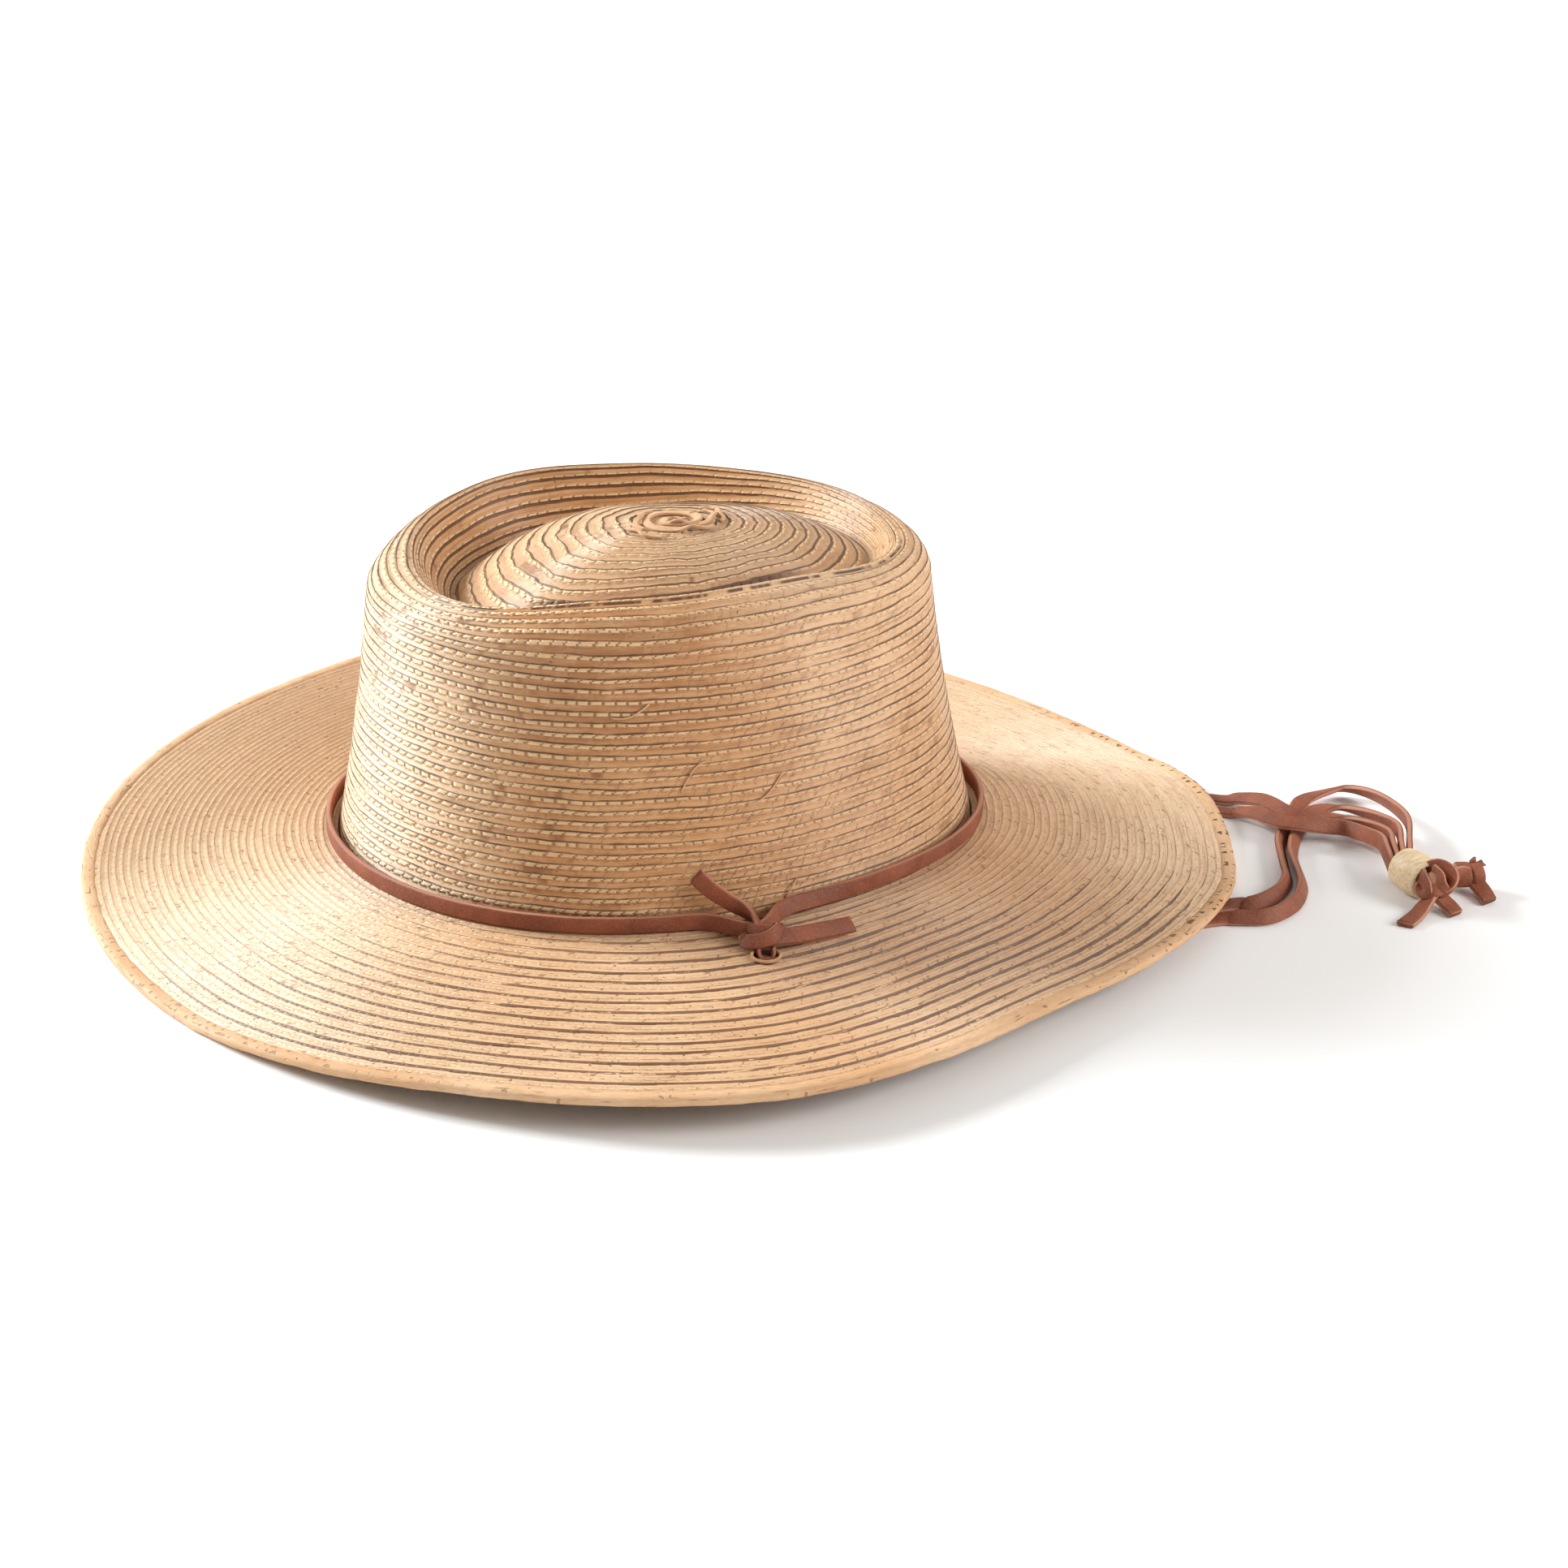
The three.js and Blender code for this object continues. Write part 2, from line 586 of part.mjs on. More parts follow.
// Knot drawn tight: a rounded lump with a waist where the lace is wrapped over it
function knotSolid(knot) {
  const lump = new THREE.SphereGeometry(0.5, KNOT_SIDES, KNOT_RINGS);
  lump.rotateX(Math.PI / 2);
  lump.scale(knot.length, knot.depth, knot.height);
  lump.translate(knot.x, knot.y, knot.z);
  const wrap = new THREE.CylinderGeometry(0.5, 0.5, 1, KNOT_SIDES);
  wrap.scale(knot.depth * WRAP_SWELL, WRAP_WIDTH, knot.height * WRAP_SWELL);
  wrap.rotateZ(Math.PI / 2);
  wrap.translate(knot.x, knot.y, knot.z);
  return toSolid(lump).add(toSolid(wrap));
}

// Hat band: a lace on its edge round the foot of the crown, drawn out to its knot
function bandGeometry() {
  const ring = bodyOfSections((angle) => {
    const radians = THREE.MathUtils.degToRad(angle);
    const standoff = BAND_END_STANDOFF * Math.cos(radians) ** 2;
    const toKnot = (angle - BAND_KNOT_ANGLE) / BAND_KNOT_SPREAD;
    const drawnOut = BAND_KNOT_REACH * Math.exp(-toKnot * toKnot);
    const toRise = (angle - BAND_RISE_ANGLE) / BAND_RISE_SPREAD;
    const rise = BAND_RISE * Math.exp(-toRise * toRise);
    const height = CLEARANCE + LACE_WIDTH / 2 + rise;
    const reach = footReach(angle) + CLEARANCE + LACE_THICKNESS / 2 + standoff + drawnOut;
    return laceCorners(LACE_THICKNESS, LACE_WIDTH).map((corner) => ({
      reach: reach + corner.x,
      height: FOOT_HEIGHT + height + corner.y,
    }));
  });
  const tails = [WALL_TAIL, BRIM_TAIL].map((rows) => toSolid(laceGeometry(rows)));
  const pieces = [knotSolid(BAND_KNOT), ...tails];
  return toGeometry(pieces.reduce((whole, piece) => whole.add(piece), toSolid(ring)));
}

// Turns a body made along +Z on the origin to lie along the bead's bore
function alongBore(geometry) {
  geometry.rotateY(Math.PI / 2);
  geometry.rotateZ(THREE.MathUtils.degToRad(BEAD_HEADING));
  geometry.translate(BEAD_CENTRE.x, BEAD_CENTRE.y, BEAD_CENTRE.z);
  return geometry;
}

// Barrel bead with eased ends and a bore right through
function beadGeometry() {
  const half = BEAD_LENGTH / 2;
  const shoulder = (BEAD_END_RADIUS + 2 * BEAD_RADIUS) / 3;
  const outline = [
    new THREE.Vector2(BEAD_BORE_RADIUS, -half),
    new THREE.Vector2(BEAD_END_RADIUS - BEAD_EDGE, -half),
    new THREE.Vector2(BEAD_END_RADIUS, -half + BEAD_EDGE),
    new THREE.Vector2(shoulder, -half / 2),
    new THREE.Vector2(BEAD_RADIUS, 0),
    new THREE.Vector2(shoulder, half / 2),
    new THREE.Vector2(BEAD_END_RADIUS, half - BEAD_EDGE),
    new THREE.Vector2(BEAD_END_RADIUS - BEAD_EDGE, half),
    new THREE.Vector2(BEAD_BORE_RADIUS, half),
    new THREE.Vector2(BEAD_BORE_RADIUS, -half),
  ];
  const bead = new THREE.LatheGeometry(outline, BORE_SIDES);
  bead.rotateX(Math.PI / 2);
  return withoutFlatTriangles(alongBore(bead));
}

// End knot, with its tails and, on the first one, the strands that fill the bead's bore
function endKnotGeometry(name, lumps, withBundle) {
  let solid = lumps.map(knotSolid).reduce((whole, lump) => whole.add(lump));
  if (withBundle) {
    const length = BEAD_LENGTH + BUNDLE_REACH;
    const bundle = new THREE.CylinderGeometry(BUNDLE_RADIUS, BUNDLE_RADIUS, length, BORE_SIDES);
    bundle.rotateX(Math.PI / 2);
    bundle.translate(0, 0, BUNDLE_REACH / 2);
    solid = solid.add(toSolid(alongBore(bundle)));
  }
  for (const tail of END_TAILS[name]) {
    solid = solid.add(toSolid(laceGeometry(tail)));
  }
  return toGeometry(solid);
}

addPiece("crown", crownGeometry(), STRAW);
addPiece("brim", brimGeometry(), STRAW);
addPiece("brim_edge", hemGeometry(), STRAW);
addPiece("hat_band", bandGeometry(), LEATHER);
for (const [name, rows] of Object.entries(CHIN_ROUTES)) {
  addPiece(name, laceGeometry(rows), LEATHER);
}
addPiece("far_stop_knot", toGeometry(knotSolid(FAR_KNOT)), LEATHER);
addPiece("bead", beadGeometry(), WOOD);
addPiece("end_knot_a", endKnotGeometry("end_knot_a", END_KNOT_A, true), LEATHER);
addPiece("end_knot_b", endKnotGeometry("end_knot_b", END_KNOT_B, false), LEATHER);

export default hat;
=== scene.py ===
"""Rancher hat: sewn straw braid, whipped hem, leather lace band and chin lace with a wooden bead.

Metres, +X to the front of the hat, +Y to its far side, +Z up, resting on z = 0.
"""

import math
from collections import namedtuple

import bmesh
import bpy
from mathutils import Matrix, Vector, noise


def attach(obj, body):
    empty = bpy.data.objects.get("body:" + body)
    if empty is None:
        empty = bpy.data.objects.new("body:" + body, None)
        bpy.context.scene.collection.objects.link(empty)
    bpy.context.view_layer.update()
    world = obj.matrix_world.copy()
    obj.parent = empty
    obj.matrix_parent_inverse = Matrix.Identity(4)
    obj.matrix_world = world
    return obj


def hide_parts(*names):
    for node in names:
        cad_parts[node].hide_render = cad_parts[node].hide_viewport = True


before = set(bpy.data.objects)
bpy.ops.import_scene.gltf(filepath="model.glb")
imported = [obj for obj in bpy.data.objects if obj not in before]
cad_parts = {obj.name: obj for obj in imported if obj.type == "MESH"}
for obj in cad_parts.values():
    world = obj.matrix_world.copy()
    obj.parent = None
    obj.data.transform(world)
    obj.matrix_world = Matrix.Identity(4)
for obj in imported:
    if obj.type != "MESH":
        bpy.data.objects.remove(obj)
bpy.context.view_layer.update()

bl_info = {
    "name": "Rancher Hat",
    "version": (1, 0, 0),
    "blender": (4, 5, 0),
    "location": "View3D > Sidebar > Hat",
    "description": "Makes a braided straw hat with its leather laces, bead and studio",
    "category": "Add Mesh",
}

MM = 0.001
BODY = "root"

# Crown: foot outline, walls and top, in millimetres
CROWN_CENTRE = (-1.6, 0.3)
FOOT_HALF_LENGTH = 99.6
FOOT_HALF_WIDTH = 81.2
FOOT_EGG = 0.078
FOOT_HEIGHT = 13.4
WALL_HEIGHT = 78
WALL_HOLLOW = 0.35
DOME_HEIGHT = 98
DOME_FULLNESS = 2.5
DOME_OFFSET = (4, -8)
STRAW_THICKNESS = 2
CLEARANCE = 0.3

# One row per 30 degrees from the front towards the far side: the wall's lean, the reach and
# height of the crease's rim, and how far the crease's bottom lies inside and below that rim
CrownRow = namedtuple("CrownRow", "lean ridge_reach ridge_height crease_in crease_drop")
CROWN_ROWS = [
    CrownRow(0.837, 71.0, 90.7, 8, 7),
    CrownRow(0.845, 69.2, 92.0, 11, 9),
    CrownRow(0.858, 64.0, 92.7, 13, 13),
    CrownRow(0.870, 65.3, 92.7, 14, 17),
    CrownRow(0.876, 73.5, 91.8, 15, 18),
    CrownRow(0.878, 77.2, 88.0, 15, 16),
    CrownRow(0.891, 75.5, 85.1, 14, 13),
    CrownRow(0.890, 74.3, 87.5, 13, 14),
    CrownRow(0.883, 63.2, 92.1, 10, 14),
    CrownRow(0.871, 57.4, 93.7, 8, 13),
    CrownRow(0.857, 58.1, 93.9, 7, 11),
    CrownRow(0.843, 68.7, 92.1, 8, 8),
]

# One row per 15 degrees: outer reach of the hem and the height of its middle
BrimRow = namedtuple("BrimRow", "reach height")
BRIM_ROWS = [
    BrimRow(182.4, 4.8), BrimRow(177.9, 1.7), BrimRow(171.8, 3.6), BrimRow(166.5, 7.0),
    BrimRow(164.1, 9.5), BrimRow(169.6, 10.7), BrimRow(176.0, 10.9), BrimRow(176.2, 9.6),
    BrimRow(175.5, 7.7), BrimRow(177.4, 5.6), BrimRow(179.4, 3.8), BrimRow(179.7, 3.1),
    BrimRow(179.3, 2.6), BrimRow(178.7, 1.7), BrimRow(177.9, 1.7), BrimRow(176.8, 4.8),
    BrimRow(175.9, 8.4), BrimRow(176.9, 10.3), BrimRow(176.6, 10.9), BrimRow(169.4, 10.3),
    BrimRow(163.7, 9.2), BrimRow(169.1, 8.8), BrimRow(176.8, 7.8), BrimRow(181.1, 1.7),
]
HEM_WIDTH = 5
HEM_THICKNESS = 3.6
BRIM_DISH = 1.2
EYELET_RADIUS = 4
EYELETS = [(8.8, -101), (8.8, 101)]

# Braid rows in each stretch of the crown, and in the brim
WALL_ROWS = 24
SHOULDER_ROWS = 6
CREASE_ROWS = 8
DOME_ROWS = 15
CROWN_STATIONS = 320
BRIM_STATIONS = 400
BRAID_ROWS_IN_BRIM = 32

# Leather lace and hat band, in millimetres
LACE_WIDTH = 5
LACE_THICKNESS = 1.8
LACE_CORNER = 0.5
BAND_END_STANDOFF = 1.9
BAND_RISE = 1.6
BAND_RISE_ANGLE = 315
BAND_RISE_SPREAD = 28
BAND_KNOT_ANGLE = 276.2
BAND_KNOT_REACH = 10.6
BAND_KNOT_SPREAD = 5.5
BAND_TILT = 32
BAND_TILT_ANGLE = 288
BAND_TILT_SPREAD = 9
BAND_KNOT = (8.4, -96.4, 15.9)
BAND_STATIONS = 360

# Middle of each lace in metres, and how far its face stands up from flat, in degrees
LACE_ROUTES = {
    "chin_lace_near_a": [
        (0.0100, -0.1010, 0.0122, 0),
        (0.0104, -0.1010, 0.0080, 0),
        (0.0146, -0.1007, 0.0046, 0),
        (0.0240, -0.0996, 0.0032, 0),
        (0.0400, -0.0944, 0.0026, 0),
        (0.0640, -0.0892, 0.0009, 0),
        (0.1120, -0.0800, 0.0009, 0),
        (0.1595, -0.0735, 0.0011, 5),
        (0.1659, -0.0757, 0.0020, 30),
        (0.1718, -0.0747, 0.0025, 50),
        (0.1787, -0.0697, 0.0026, 60),
        (0.1839, -0.0626, 0.0026, 60),
        (0.1863, -0.0548, 0.0026, 60),
        (0.1912, -0.0390, 0.0026, 60),
        (0.1953, -0.0317, 0.0026, 60),
        (0.2002, -0.0246, 0.0026, 60),
        (0.2051, -0.0167, 0.0026, 40),
        (0.2120, -0.0083, 0.0026, 5),
        (0.2204, -0.0045, 0.0028, -20),
        (0.2289, -0.0044, 0.0036, -35),
        (0.2347, -0.0165, 0.0052, -60),
        (0.2343, -0.0375, 0.0070, -80),
        (0.2254, -0.0586, 0.0085, -88),
        (0.2220, -0.0666, 0.0067, -90),
    ],
    "chin_lace_near_b": [
        (0.0077, -0.1011, 0.0122, 0),
        (0.0079, -0.1011, 0.0070, 0),
        (0.0110, -0.1016, 0.0027, 0),
        (0.0200, -0.1028, 0.0009, 0),
        (0.0620, -0.0972, 0.0009, 0),
        (0.1080, -0.0888, 0.0009, 0),
        (0.1505, -0.0825, 0.0011, 5),
        (0.1590, -0.0838, 0.0020, 30),
        (0.1673, -0.0856, 0.0025, 50),
        (0.1745, -0.0828, 0.0026, 60),
        (0.1808, -0.0775, 0.0026, 60),
        (0.1852, -0.0709, 0.0026, 60),
        (0.1881, -0.0640, 0.0026, 60),
        (0.1918, -0.0487, 0.0026, 60),
        (0.1943, -0.0420, 0.0026, 60),
        (0.1981, -0.0348, 0.0026, 60),
        (0.2030, -0.0270, 0.0026, 60),
        (0.2086, -0.0199, 0.0026, 40),
        (0.2137, -0.0164, 0.0026, 10),
        (0.2189, -0.0159, 0.0028, -15),
        (0.2234, -0.0197, 0.0035, -35),
        (0.2274, -0.0315, 0.0055, -60),
        (0.2282, -0.0444, 0.0072, -80),
        (0.2223, -0.0592, 0.0085, -88),
        (0.2198, -0.0671, 0.0067, -90),
    ],
    "chin_lace_far_a": [
        (0.0100, 0.1010, 0.0122, 0),
        (0.0104, 0.1010, 0.0080, 0),
        (0.0146, 0.1006, 0.0046, 0),
        (0.0240, 0.0988, 0.0028, 0),
        (0.0400, 0.0920, 0.0009, 0),
        (0.1000, 0.0584, 0.0009, 0),
        (0.1420, 0.0300, 0.0009, 0),
        (0.1835, 0.0023, 0.0009, 0),
        (0.1913, -0.0024, 0.0024, 16),
        (0.1959, -0.0100, 0.0050, 30),
        (0.1969, -0.0180, 0.0068, 30),
        (0.1982, -0.0254, 0.0075, 25),
        (0.2008, -0.0285, 0.0075, 25),
        (0.2050, -0.0292, 0.0069, 20),
        (0.2120, -0.0275, 0.0054, 0),
        (0.2182, -0.0300, 0.0052, -30),
        (0.2219, -0.0391, 0.0064, -60),
        (0.2232, -0.0490, 0.0075, -80),
        (0.2194, -0.0599, 0.0085, -88),
        (0.2177, -0.0676, 0.0067, -90),
    ],
    "chin_lace_far_b": [
        (0.0077, 0.1010, 0.0122, 0),
        (0.0079, 0.1010, 0.0070, 0),
        (0.0110, 0.1000, 0.0027, 0),
        (0.0200, 0.0952, 0.0009, 0),
        (0.0560, 0.0764, 0.0009, 0),
        (0.0960, 0.0520, 0.0009, 0),
        (0.1380, 0.0230, 0.0009, 0),
        (0.1818, -0.0071, 0.0009, 0),
        (0.1878, -0.0113, 0.0020, 12),
        (0.1912, -0.0189, 0.0046, 28),
        (0.1920, -0.0274, 0.0066, 30),
        (0.1941, -0.0328, 0.0075, 25),
        (0.1977, -0.0347, 0.0075, 25),
        (0.2020, -0.0349, 0.0069, 40),
        (0.2092, -0.0339, 0.0052, 60),
        (0.2152, -0.0357, 0.0047, 70),
        (0.2178, -0.0451, 0.0064, 76),
        (0.2188, -0.0526, 0.0076, 84),
        (0.2166, -0.0606, 0.0085, 88),
        (0.2155, -0.0681, 0.0067, 90),
    ],
}

# Tails of the band's knot in millimetres, each row with the lean of the lace's face
WALL_TAIL = [
    (9.2, -95.2, 17.8, 40), (8.2, -89.2, 19, 62), (5.4, -85.2, 20.3, 80),
    (1.4, -83.4, 22.4, 84), (-3.6, -82.6, 26.2, 84), (-7.8, -82.2, 30.6, 84),
]
BRIM_TAIL = [
    (9.5, -97.2, 16.4, 30), (15.5, -96.9, 16.2, 40), (22.5, -95.4, 15.9, 42),
    (29.5, -93.6, 15.7, 42), (36.5, -91.8, 15.6, 40),
]

# Turns of lace in the knots, as right, up and near of the knot's centre in the photographed view
BAND_CORE = (6.6, 3.6, 4.2)
BAND_WRAP = [
    (-2.6, 0.2, -2.4, 0), (-4.6, -0.5, -0.6, 0), (-3.2, -0.8, 1.5, 0), (0, -0.4, 2.4, 0),
    (2.8, 0.7, 2.2, 10), (4.6, 2.3, 0.9, 35), (5.0, 3.2, -0.9, 60), (3.6, 3.2, -2.4, 80),
]
BAND_UNDER_WRAP = [(-3.4, 2.2, -2.2, 0), (-1.6, 2.2, 0.2, 0), (1.2, 2.0, 1.0, 0), (3.6, 1.4, 0, 0), (4.4, 0.6, -2, 0)]
BAND_LOOP = [
    (-0.9, -2.0, 0.8, 80), (-0.8, -4.2, 0.6, 80), (0.4, -6.0, 0.2, 85), (2.2, -6.2, 0.1, 90),
    (3.4, -4.6, 0.5, 95), (3.4, -2.2, 0.8, 95),
]
FAR_KNOT = (8.8, 101, 16.1)
FAR_CORE = (7, 6.4, 4)
INNER_KNOT = (222.6, -83.4, 7.4)
INNER_WRAPS = [
    [(-1.8, 4.6, -2.5, 0), (0.8, 5.6, 0.2, 10), (3.4, 4.4, 2.0, 25), (4.8, 2.0, 2.6, 50),
     (4.2, -0.6, 2.4, 70), (2.2, -1.6, 1.2, 60), (0, -0.8, -0.5, 40)],
    [(3.4, -0.4, -1.5, 0), (1.4, -1.2, 2.0, 0), (-1.4, -2.2, 3.0, 0), (-3.6, -2.6, 1.6, 10),
     (-4.4, -1.4, -0.8, 30), (-3.0, 0.4, -2.4, 50)],
    [(-4.6, 3.4, -2.4, 40), (-3.8, 1.8, 0.4, 50), (-3.0, -0.4, 1.8, 60), (-2.6, -2.8, 1.6, 60), (-1.6, -3.8, 0, 40)],
    [(-0.6, 4.2, 0.6, 60), (0.4, 2.4, 2.8, 50), (0.6, 0.2, 3.4, 30), (2.0, -2.2, 2.6, 20), (3.4, -3.2, 0.6, 20)],
]
INNER_TAILS = [
    [(221, -85.4, 4.4, 35), (217.6, -88, 2.8, 20), (213.6, -91.2, 1.3, 5), (208, -95.8, 1.1, 0)],
    [(223.4, -85.6, 4, 20), (225.4, -88.2, 2.2, 10), (226.2, -92, 1.1, 0)],
]
OUTER_KNOT = (237.6, -75.6, 5.4)
OUTER_FRILLS = [
    [(0.8, 2.6, -0.4, 20), (1.2, 3.8, 0.2, 30), (1.2, 4.6, 0.4, 40)],
    [(2.6, 2.2, 0.4, -20), (3.4, 3.2, 0.6, -10), (4.2, 3.6, 0.4, 0)],
]
OUTER_TAILS = [
    [(238.6, -77, 4.2, 30), (240, -80.4, 2.4, 15), (240, -86, 1.1, 0)],
    [(236, -76.6, 6.2, 60), (233.4, -78.6, 7.6, 70), (230.4, -80.8, 8.5, 75), (226.8, -82.6, 8.4, 75)],
]

# Bead, in millimetres and degrees
BEAD_CENTRE = (220.4, -74.2, 6.8)
BEAD_HEADING = -76
BEAD_LENGTH = 12
BEAD_RADIUS = 6.7
BEAD_END_RADIUS = 5.9
BEAD_EDGE = 0.6
BEAD_BORE = 4.7

# Curled start of the braid on top of the dome, and ends of straw round it: first direction and turn
# in degrees, first and last row counted from the top, lift over the dome and width in millimetres
TipCurl = namedtuple("TipCurl", "angle turn first_row last_row lift width")
TIP_CURLS = [
    TipCurl(20, 620, 0.45, 2.5, 0.5, 2.6),
    TipCurl(200, 120, 0.8, 2.0, 1.6, 2.0),
    TipCurl(250, 75, 2.6, 3.3, 0.9, 1.6),
    TipCurl(300, 95, 1.9, 3.4, 1.2, 1.7),
    TipCurl(345, 60, 3.2, 4.2, 0.8, 1.5),
    TipCurl(120, 90, 2.2, 3.1, 1.0, 1.8),
    TipCurl(190, 55, 3.4, 4.4, 0.7, 1.4),
]
TIP_STEPS = 20
TIP_LIFT = 0.35

# Loose straws on the wall: first direction and row, turn and rise along the straw, bow and lift
LooseStraw = namedtuple("LooseStraw", "angle row turn rise bow lift")
LOOSE_STRAWS = [
    LooseStraw(263, 12.5, 6, 2.6, 0.8, 0.5),
    LooseStraw(278, 10.6, 9, 2.4, -0.6, 0.4),
    LooseStraw(248, 19.5, 8, 1.2, -0.5, 0.3),
    LooseStraw(286, 1.4, 3, 1.6, 0.3, 0.9),
]

# Directions towards which the straw differs, in degrees: where the stitches are fullest and their pale
# lips are painted broader as highlight, the straw is painted palest as highlight, the back of the brim
# brown, the brim's seams are painted broadest as shade, the crown's braid plainest with its stitches
# painted dimmer away from the light, the seams are painted darkest as shade, the crown's wall brown and
# then brownest, partly painted shade, the crease's rows are painted most marked as shade, the painted
# shade of the rim's gap is widest, and the dome's seams are painted darkest as shade
PUFFED_AND_LIT_ANGLE = 205
HIGHLIGHT_ANGLE = 186
BROWNED_ANGLE = 117
NEAR_ANGLE = 264
PLAIN_AND_UNLIT_ANGLE = 292
SHADED_ANGLE = 278
TOASTED_AND_SHADE_ANGLE = 240
SCORCHED_AND_SHADE_ANGLE = 247
INSIDE_ANGLE = 135
RIM_GAP_ANGLE = 272
DOME_ANGLE = 320

# Camera: aim point, distance, angles and framing of the photographed view
AIM = (-0.0016, 0.0003, 0)
VIEW_DISTANCE = 0.95
VIEW_AZIMUTH = -12
VIEW_ELEVATION = 25.42
VIEW_ROLL = 0.48
IMAGE_WIDTH = 1932
FOCAL_PIXELS = 3705
AIM_PIXEL = (809.9, 1046.6)
SENSOR = 36
WINDOW_COLOUR = (0.9, 0.96, 1.0)


def around(rows, column, angle):
    """Value of one column of a table that goes once round the hat, at any direction in degrees."""
    place = (angle % 360) / (360 / len(rows))
    index = math.floor(place)
    t = place - index
    a, b, c, d = (getattr(rows[(index + k) % len(rows)], column) for k in (-1, 0, 1, 2))
    slope = (c - a) / 2
    next_slope = (d - b) / 2
    bend = 3 * (c - b) - 2 * slope - next_slope
    twist = 2 * (b - c) + slope + next_slope
    return b + t * (slope + t * (bend + t * twist))


def smooth(t):
    t = min(1, max(0, t))
    return t * t * (3 - 2 * t)


def foot_reach(angle):
    """Egg outline of the crown's foot, narrower to the front."""
    c = math.cos(math.radians(angle))
    s = math.sin(math.radians(angle))
    ellipse = FOOT_HALF_LENGTH * FOOT_HALF_WIDTH / math.hypot(FOOT_HALF_WIDTH * c, FOOT_HALF_LENGTH * s)
    return ellipse * (1 - FOOT_EGG * c * s * s)


def hat_point(angle, reach, height, shift=0):
    """Point in metres at a reach and height in millimetres. shift moves it to the dome's middle."""
    turn = math.radians(angle)
    return Vector((
        CROWN_CENTRE[0] + reach * math.cos(turn) + shift * DOME_OFFSET[0],
        CROWN_CENTRE[1] + reach * math.sin(turn) + shift * DOME_OFFSET[1],
        height,
    )) * MM


class CrownProfile:
    """Section of the crown in one direction, from row 0 at the foot to the last row at the top."""

    def __init__(self, angle):
        self.angle = angle
        self.foot = foot_reach(angle)
        self.lean = around(CROWN_ROWS, "lean", angle)
        self.ridge = around(CROWN_ROWS, "ridge_reach", angle), around(CROWN_ROWS, "ridge_height", angle)
        self.crease = (
            self.ridge[0] - around(CROWN_ROWS, "crease_in", angle),
            self.ridge[1] - around(CROWN_ROWS, "crease_drop", angle),
        )

    def wall(self, height):
        rise = max(0, height / WALL_HEIGHT)
        inward = rise + WALL_HOLLOW * rise * (1 - rise)
        return self.foot * (1 - (1 - self.lean) * inward)

    def at(self, row):
        """Reach, height over the foot and shift towards the dome's middle."""
        if row <= WALL_ROWS:
            height = WALL_HEIGHT * row / WALL_ROWS
            return self.wall(height), height, 0
        row -= WALL_ROWS
        if row <= SHOULDER_ROWS:
            turn = math.pi / 2 * row / SHOULDER_ROWS
            top = self.wall(WALL_HEIGHT)
            reach = top + (self.ridge[0] - top) * (1 - math.cos(turn))
            return reach, WALL_HEIGHT + (self.ridge[1] - WALL_HEIGHT) * math.sin(turn), 0
        row -= SHOULDER_ROWS
        if row <= CREASE_ROWS:
            t = row / CREASE_ROWS
            reach = self.ridge[0] + (self.crease[0] - self.ridge[0]) * t
            return reach, self.ridge[1] + (self.crease[1] - self.ridge[1]) * smooth(t), 0
        share = max(0, 1 - (row - CREASE_ROWS) / DOME_ROWS)
        rise = (DOME_HEIGHT - self.crease[1]) * (1 - share ** DOME_FULLNESS)
        return self.crease[0] * share, self.crease[1] + rise, 1 - share

    def point(self, row, proud):
        """Point in metres, proud of the section by some millimetres."""
        reach, height, shift = self.at(row)
        low = self.at(max(0, row - 0.2))
        high = self.at(min(CROWN_BRAID_ROWS, row + 0.2))
        run = high[0] - low[0]
        rise = high[1] - low[1]
        length = math.hypot(run, rise) or 1
        reach = max(0.2, reach + proud * rise / length)
        return hat_point(self.angle, reach, FOOT_HEIGHT + height - proud * run / length, shift)


CROWN_BRAID_ROWS = WALL_ROWS + SHOULDER_ROWS + CREASE_ROWS + DOME_ROWS


def hem_middle(angle):
    height = max(HEM_THICKNESS / 2, around(BRIM_ROWS, "height", angle))
    return around(BRIM_ROWS, "reach", angle) - HEM_WIDTH / 2, height


def brim_top(angle, share):
    """Height of the brim's upper face at a share of the way from the crown to the hem."""
    outer = hem_middle(angle)[1] + STRAW_THICKNESS / 2
    dish = BRIM_DISH * math.cos(math.radians(2 * angle))
    return FOOT_HEIGHT + (outer - FOOT_HEIGHT) * share + 4 * dish * share * (1 - share)


def grow_rings(rings, closed_rings=True, joined_ends=False):
    """bmesh made by extruding a ring of vertices from each row of points to the next.

    Vertex layers keep the station round the ring and the number of the ring.
    """
    bm = bmesh.new()
    station = bm.verts.layers.int.new("station")
    level = bm.verts.layers.int.new("level")
    count = len(rings[0])
    bmesh.ops.create_circle(bm, segments=count, radius=1)
    bm.verts.ensure_lookup_table()
    for index, vert in enumerate(bm.verts):
        vert[station] = index
        vert.co = rings[0][index]
    edges = list(bm.edges)
    first = edges
    for number, ring in enumerate(rings[1:], 1):
        grown = bmesh.ops.extrude_edge_only(bm, edges=edges)["geom"]
        edges = [item for item in grown if isinstance(item, bmesh.types.BMEdge)]
        for vert in grown:
            if isinstance(vert, bmesh.types.BMVert):
                vert[level] = number
                vert.co = ring[vert[station]]
    if joined_ends:
        bmesh.ops.bridge_loops(bm, edges=first + edges)
    else:
        for loop in (first, edges):
            bmesh.ops.contextual_create(bm, geom=loop)
    bmesh.ops.recalc_face_normals(bm, faces=bm.faces)
    return bm


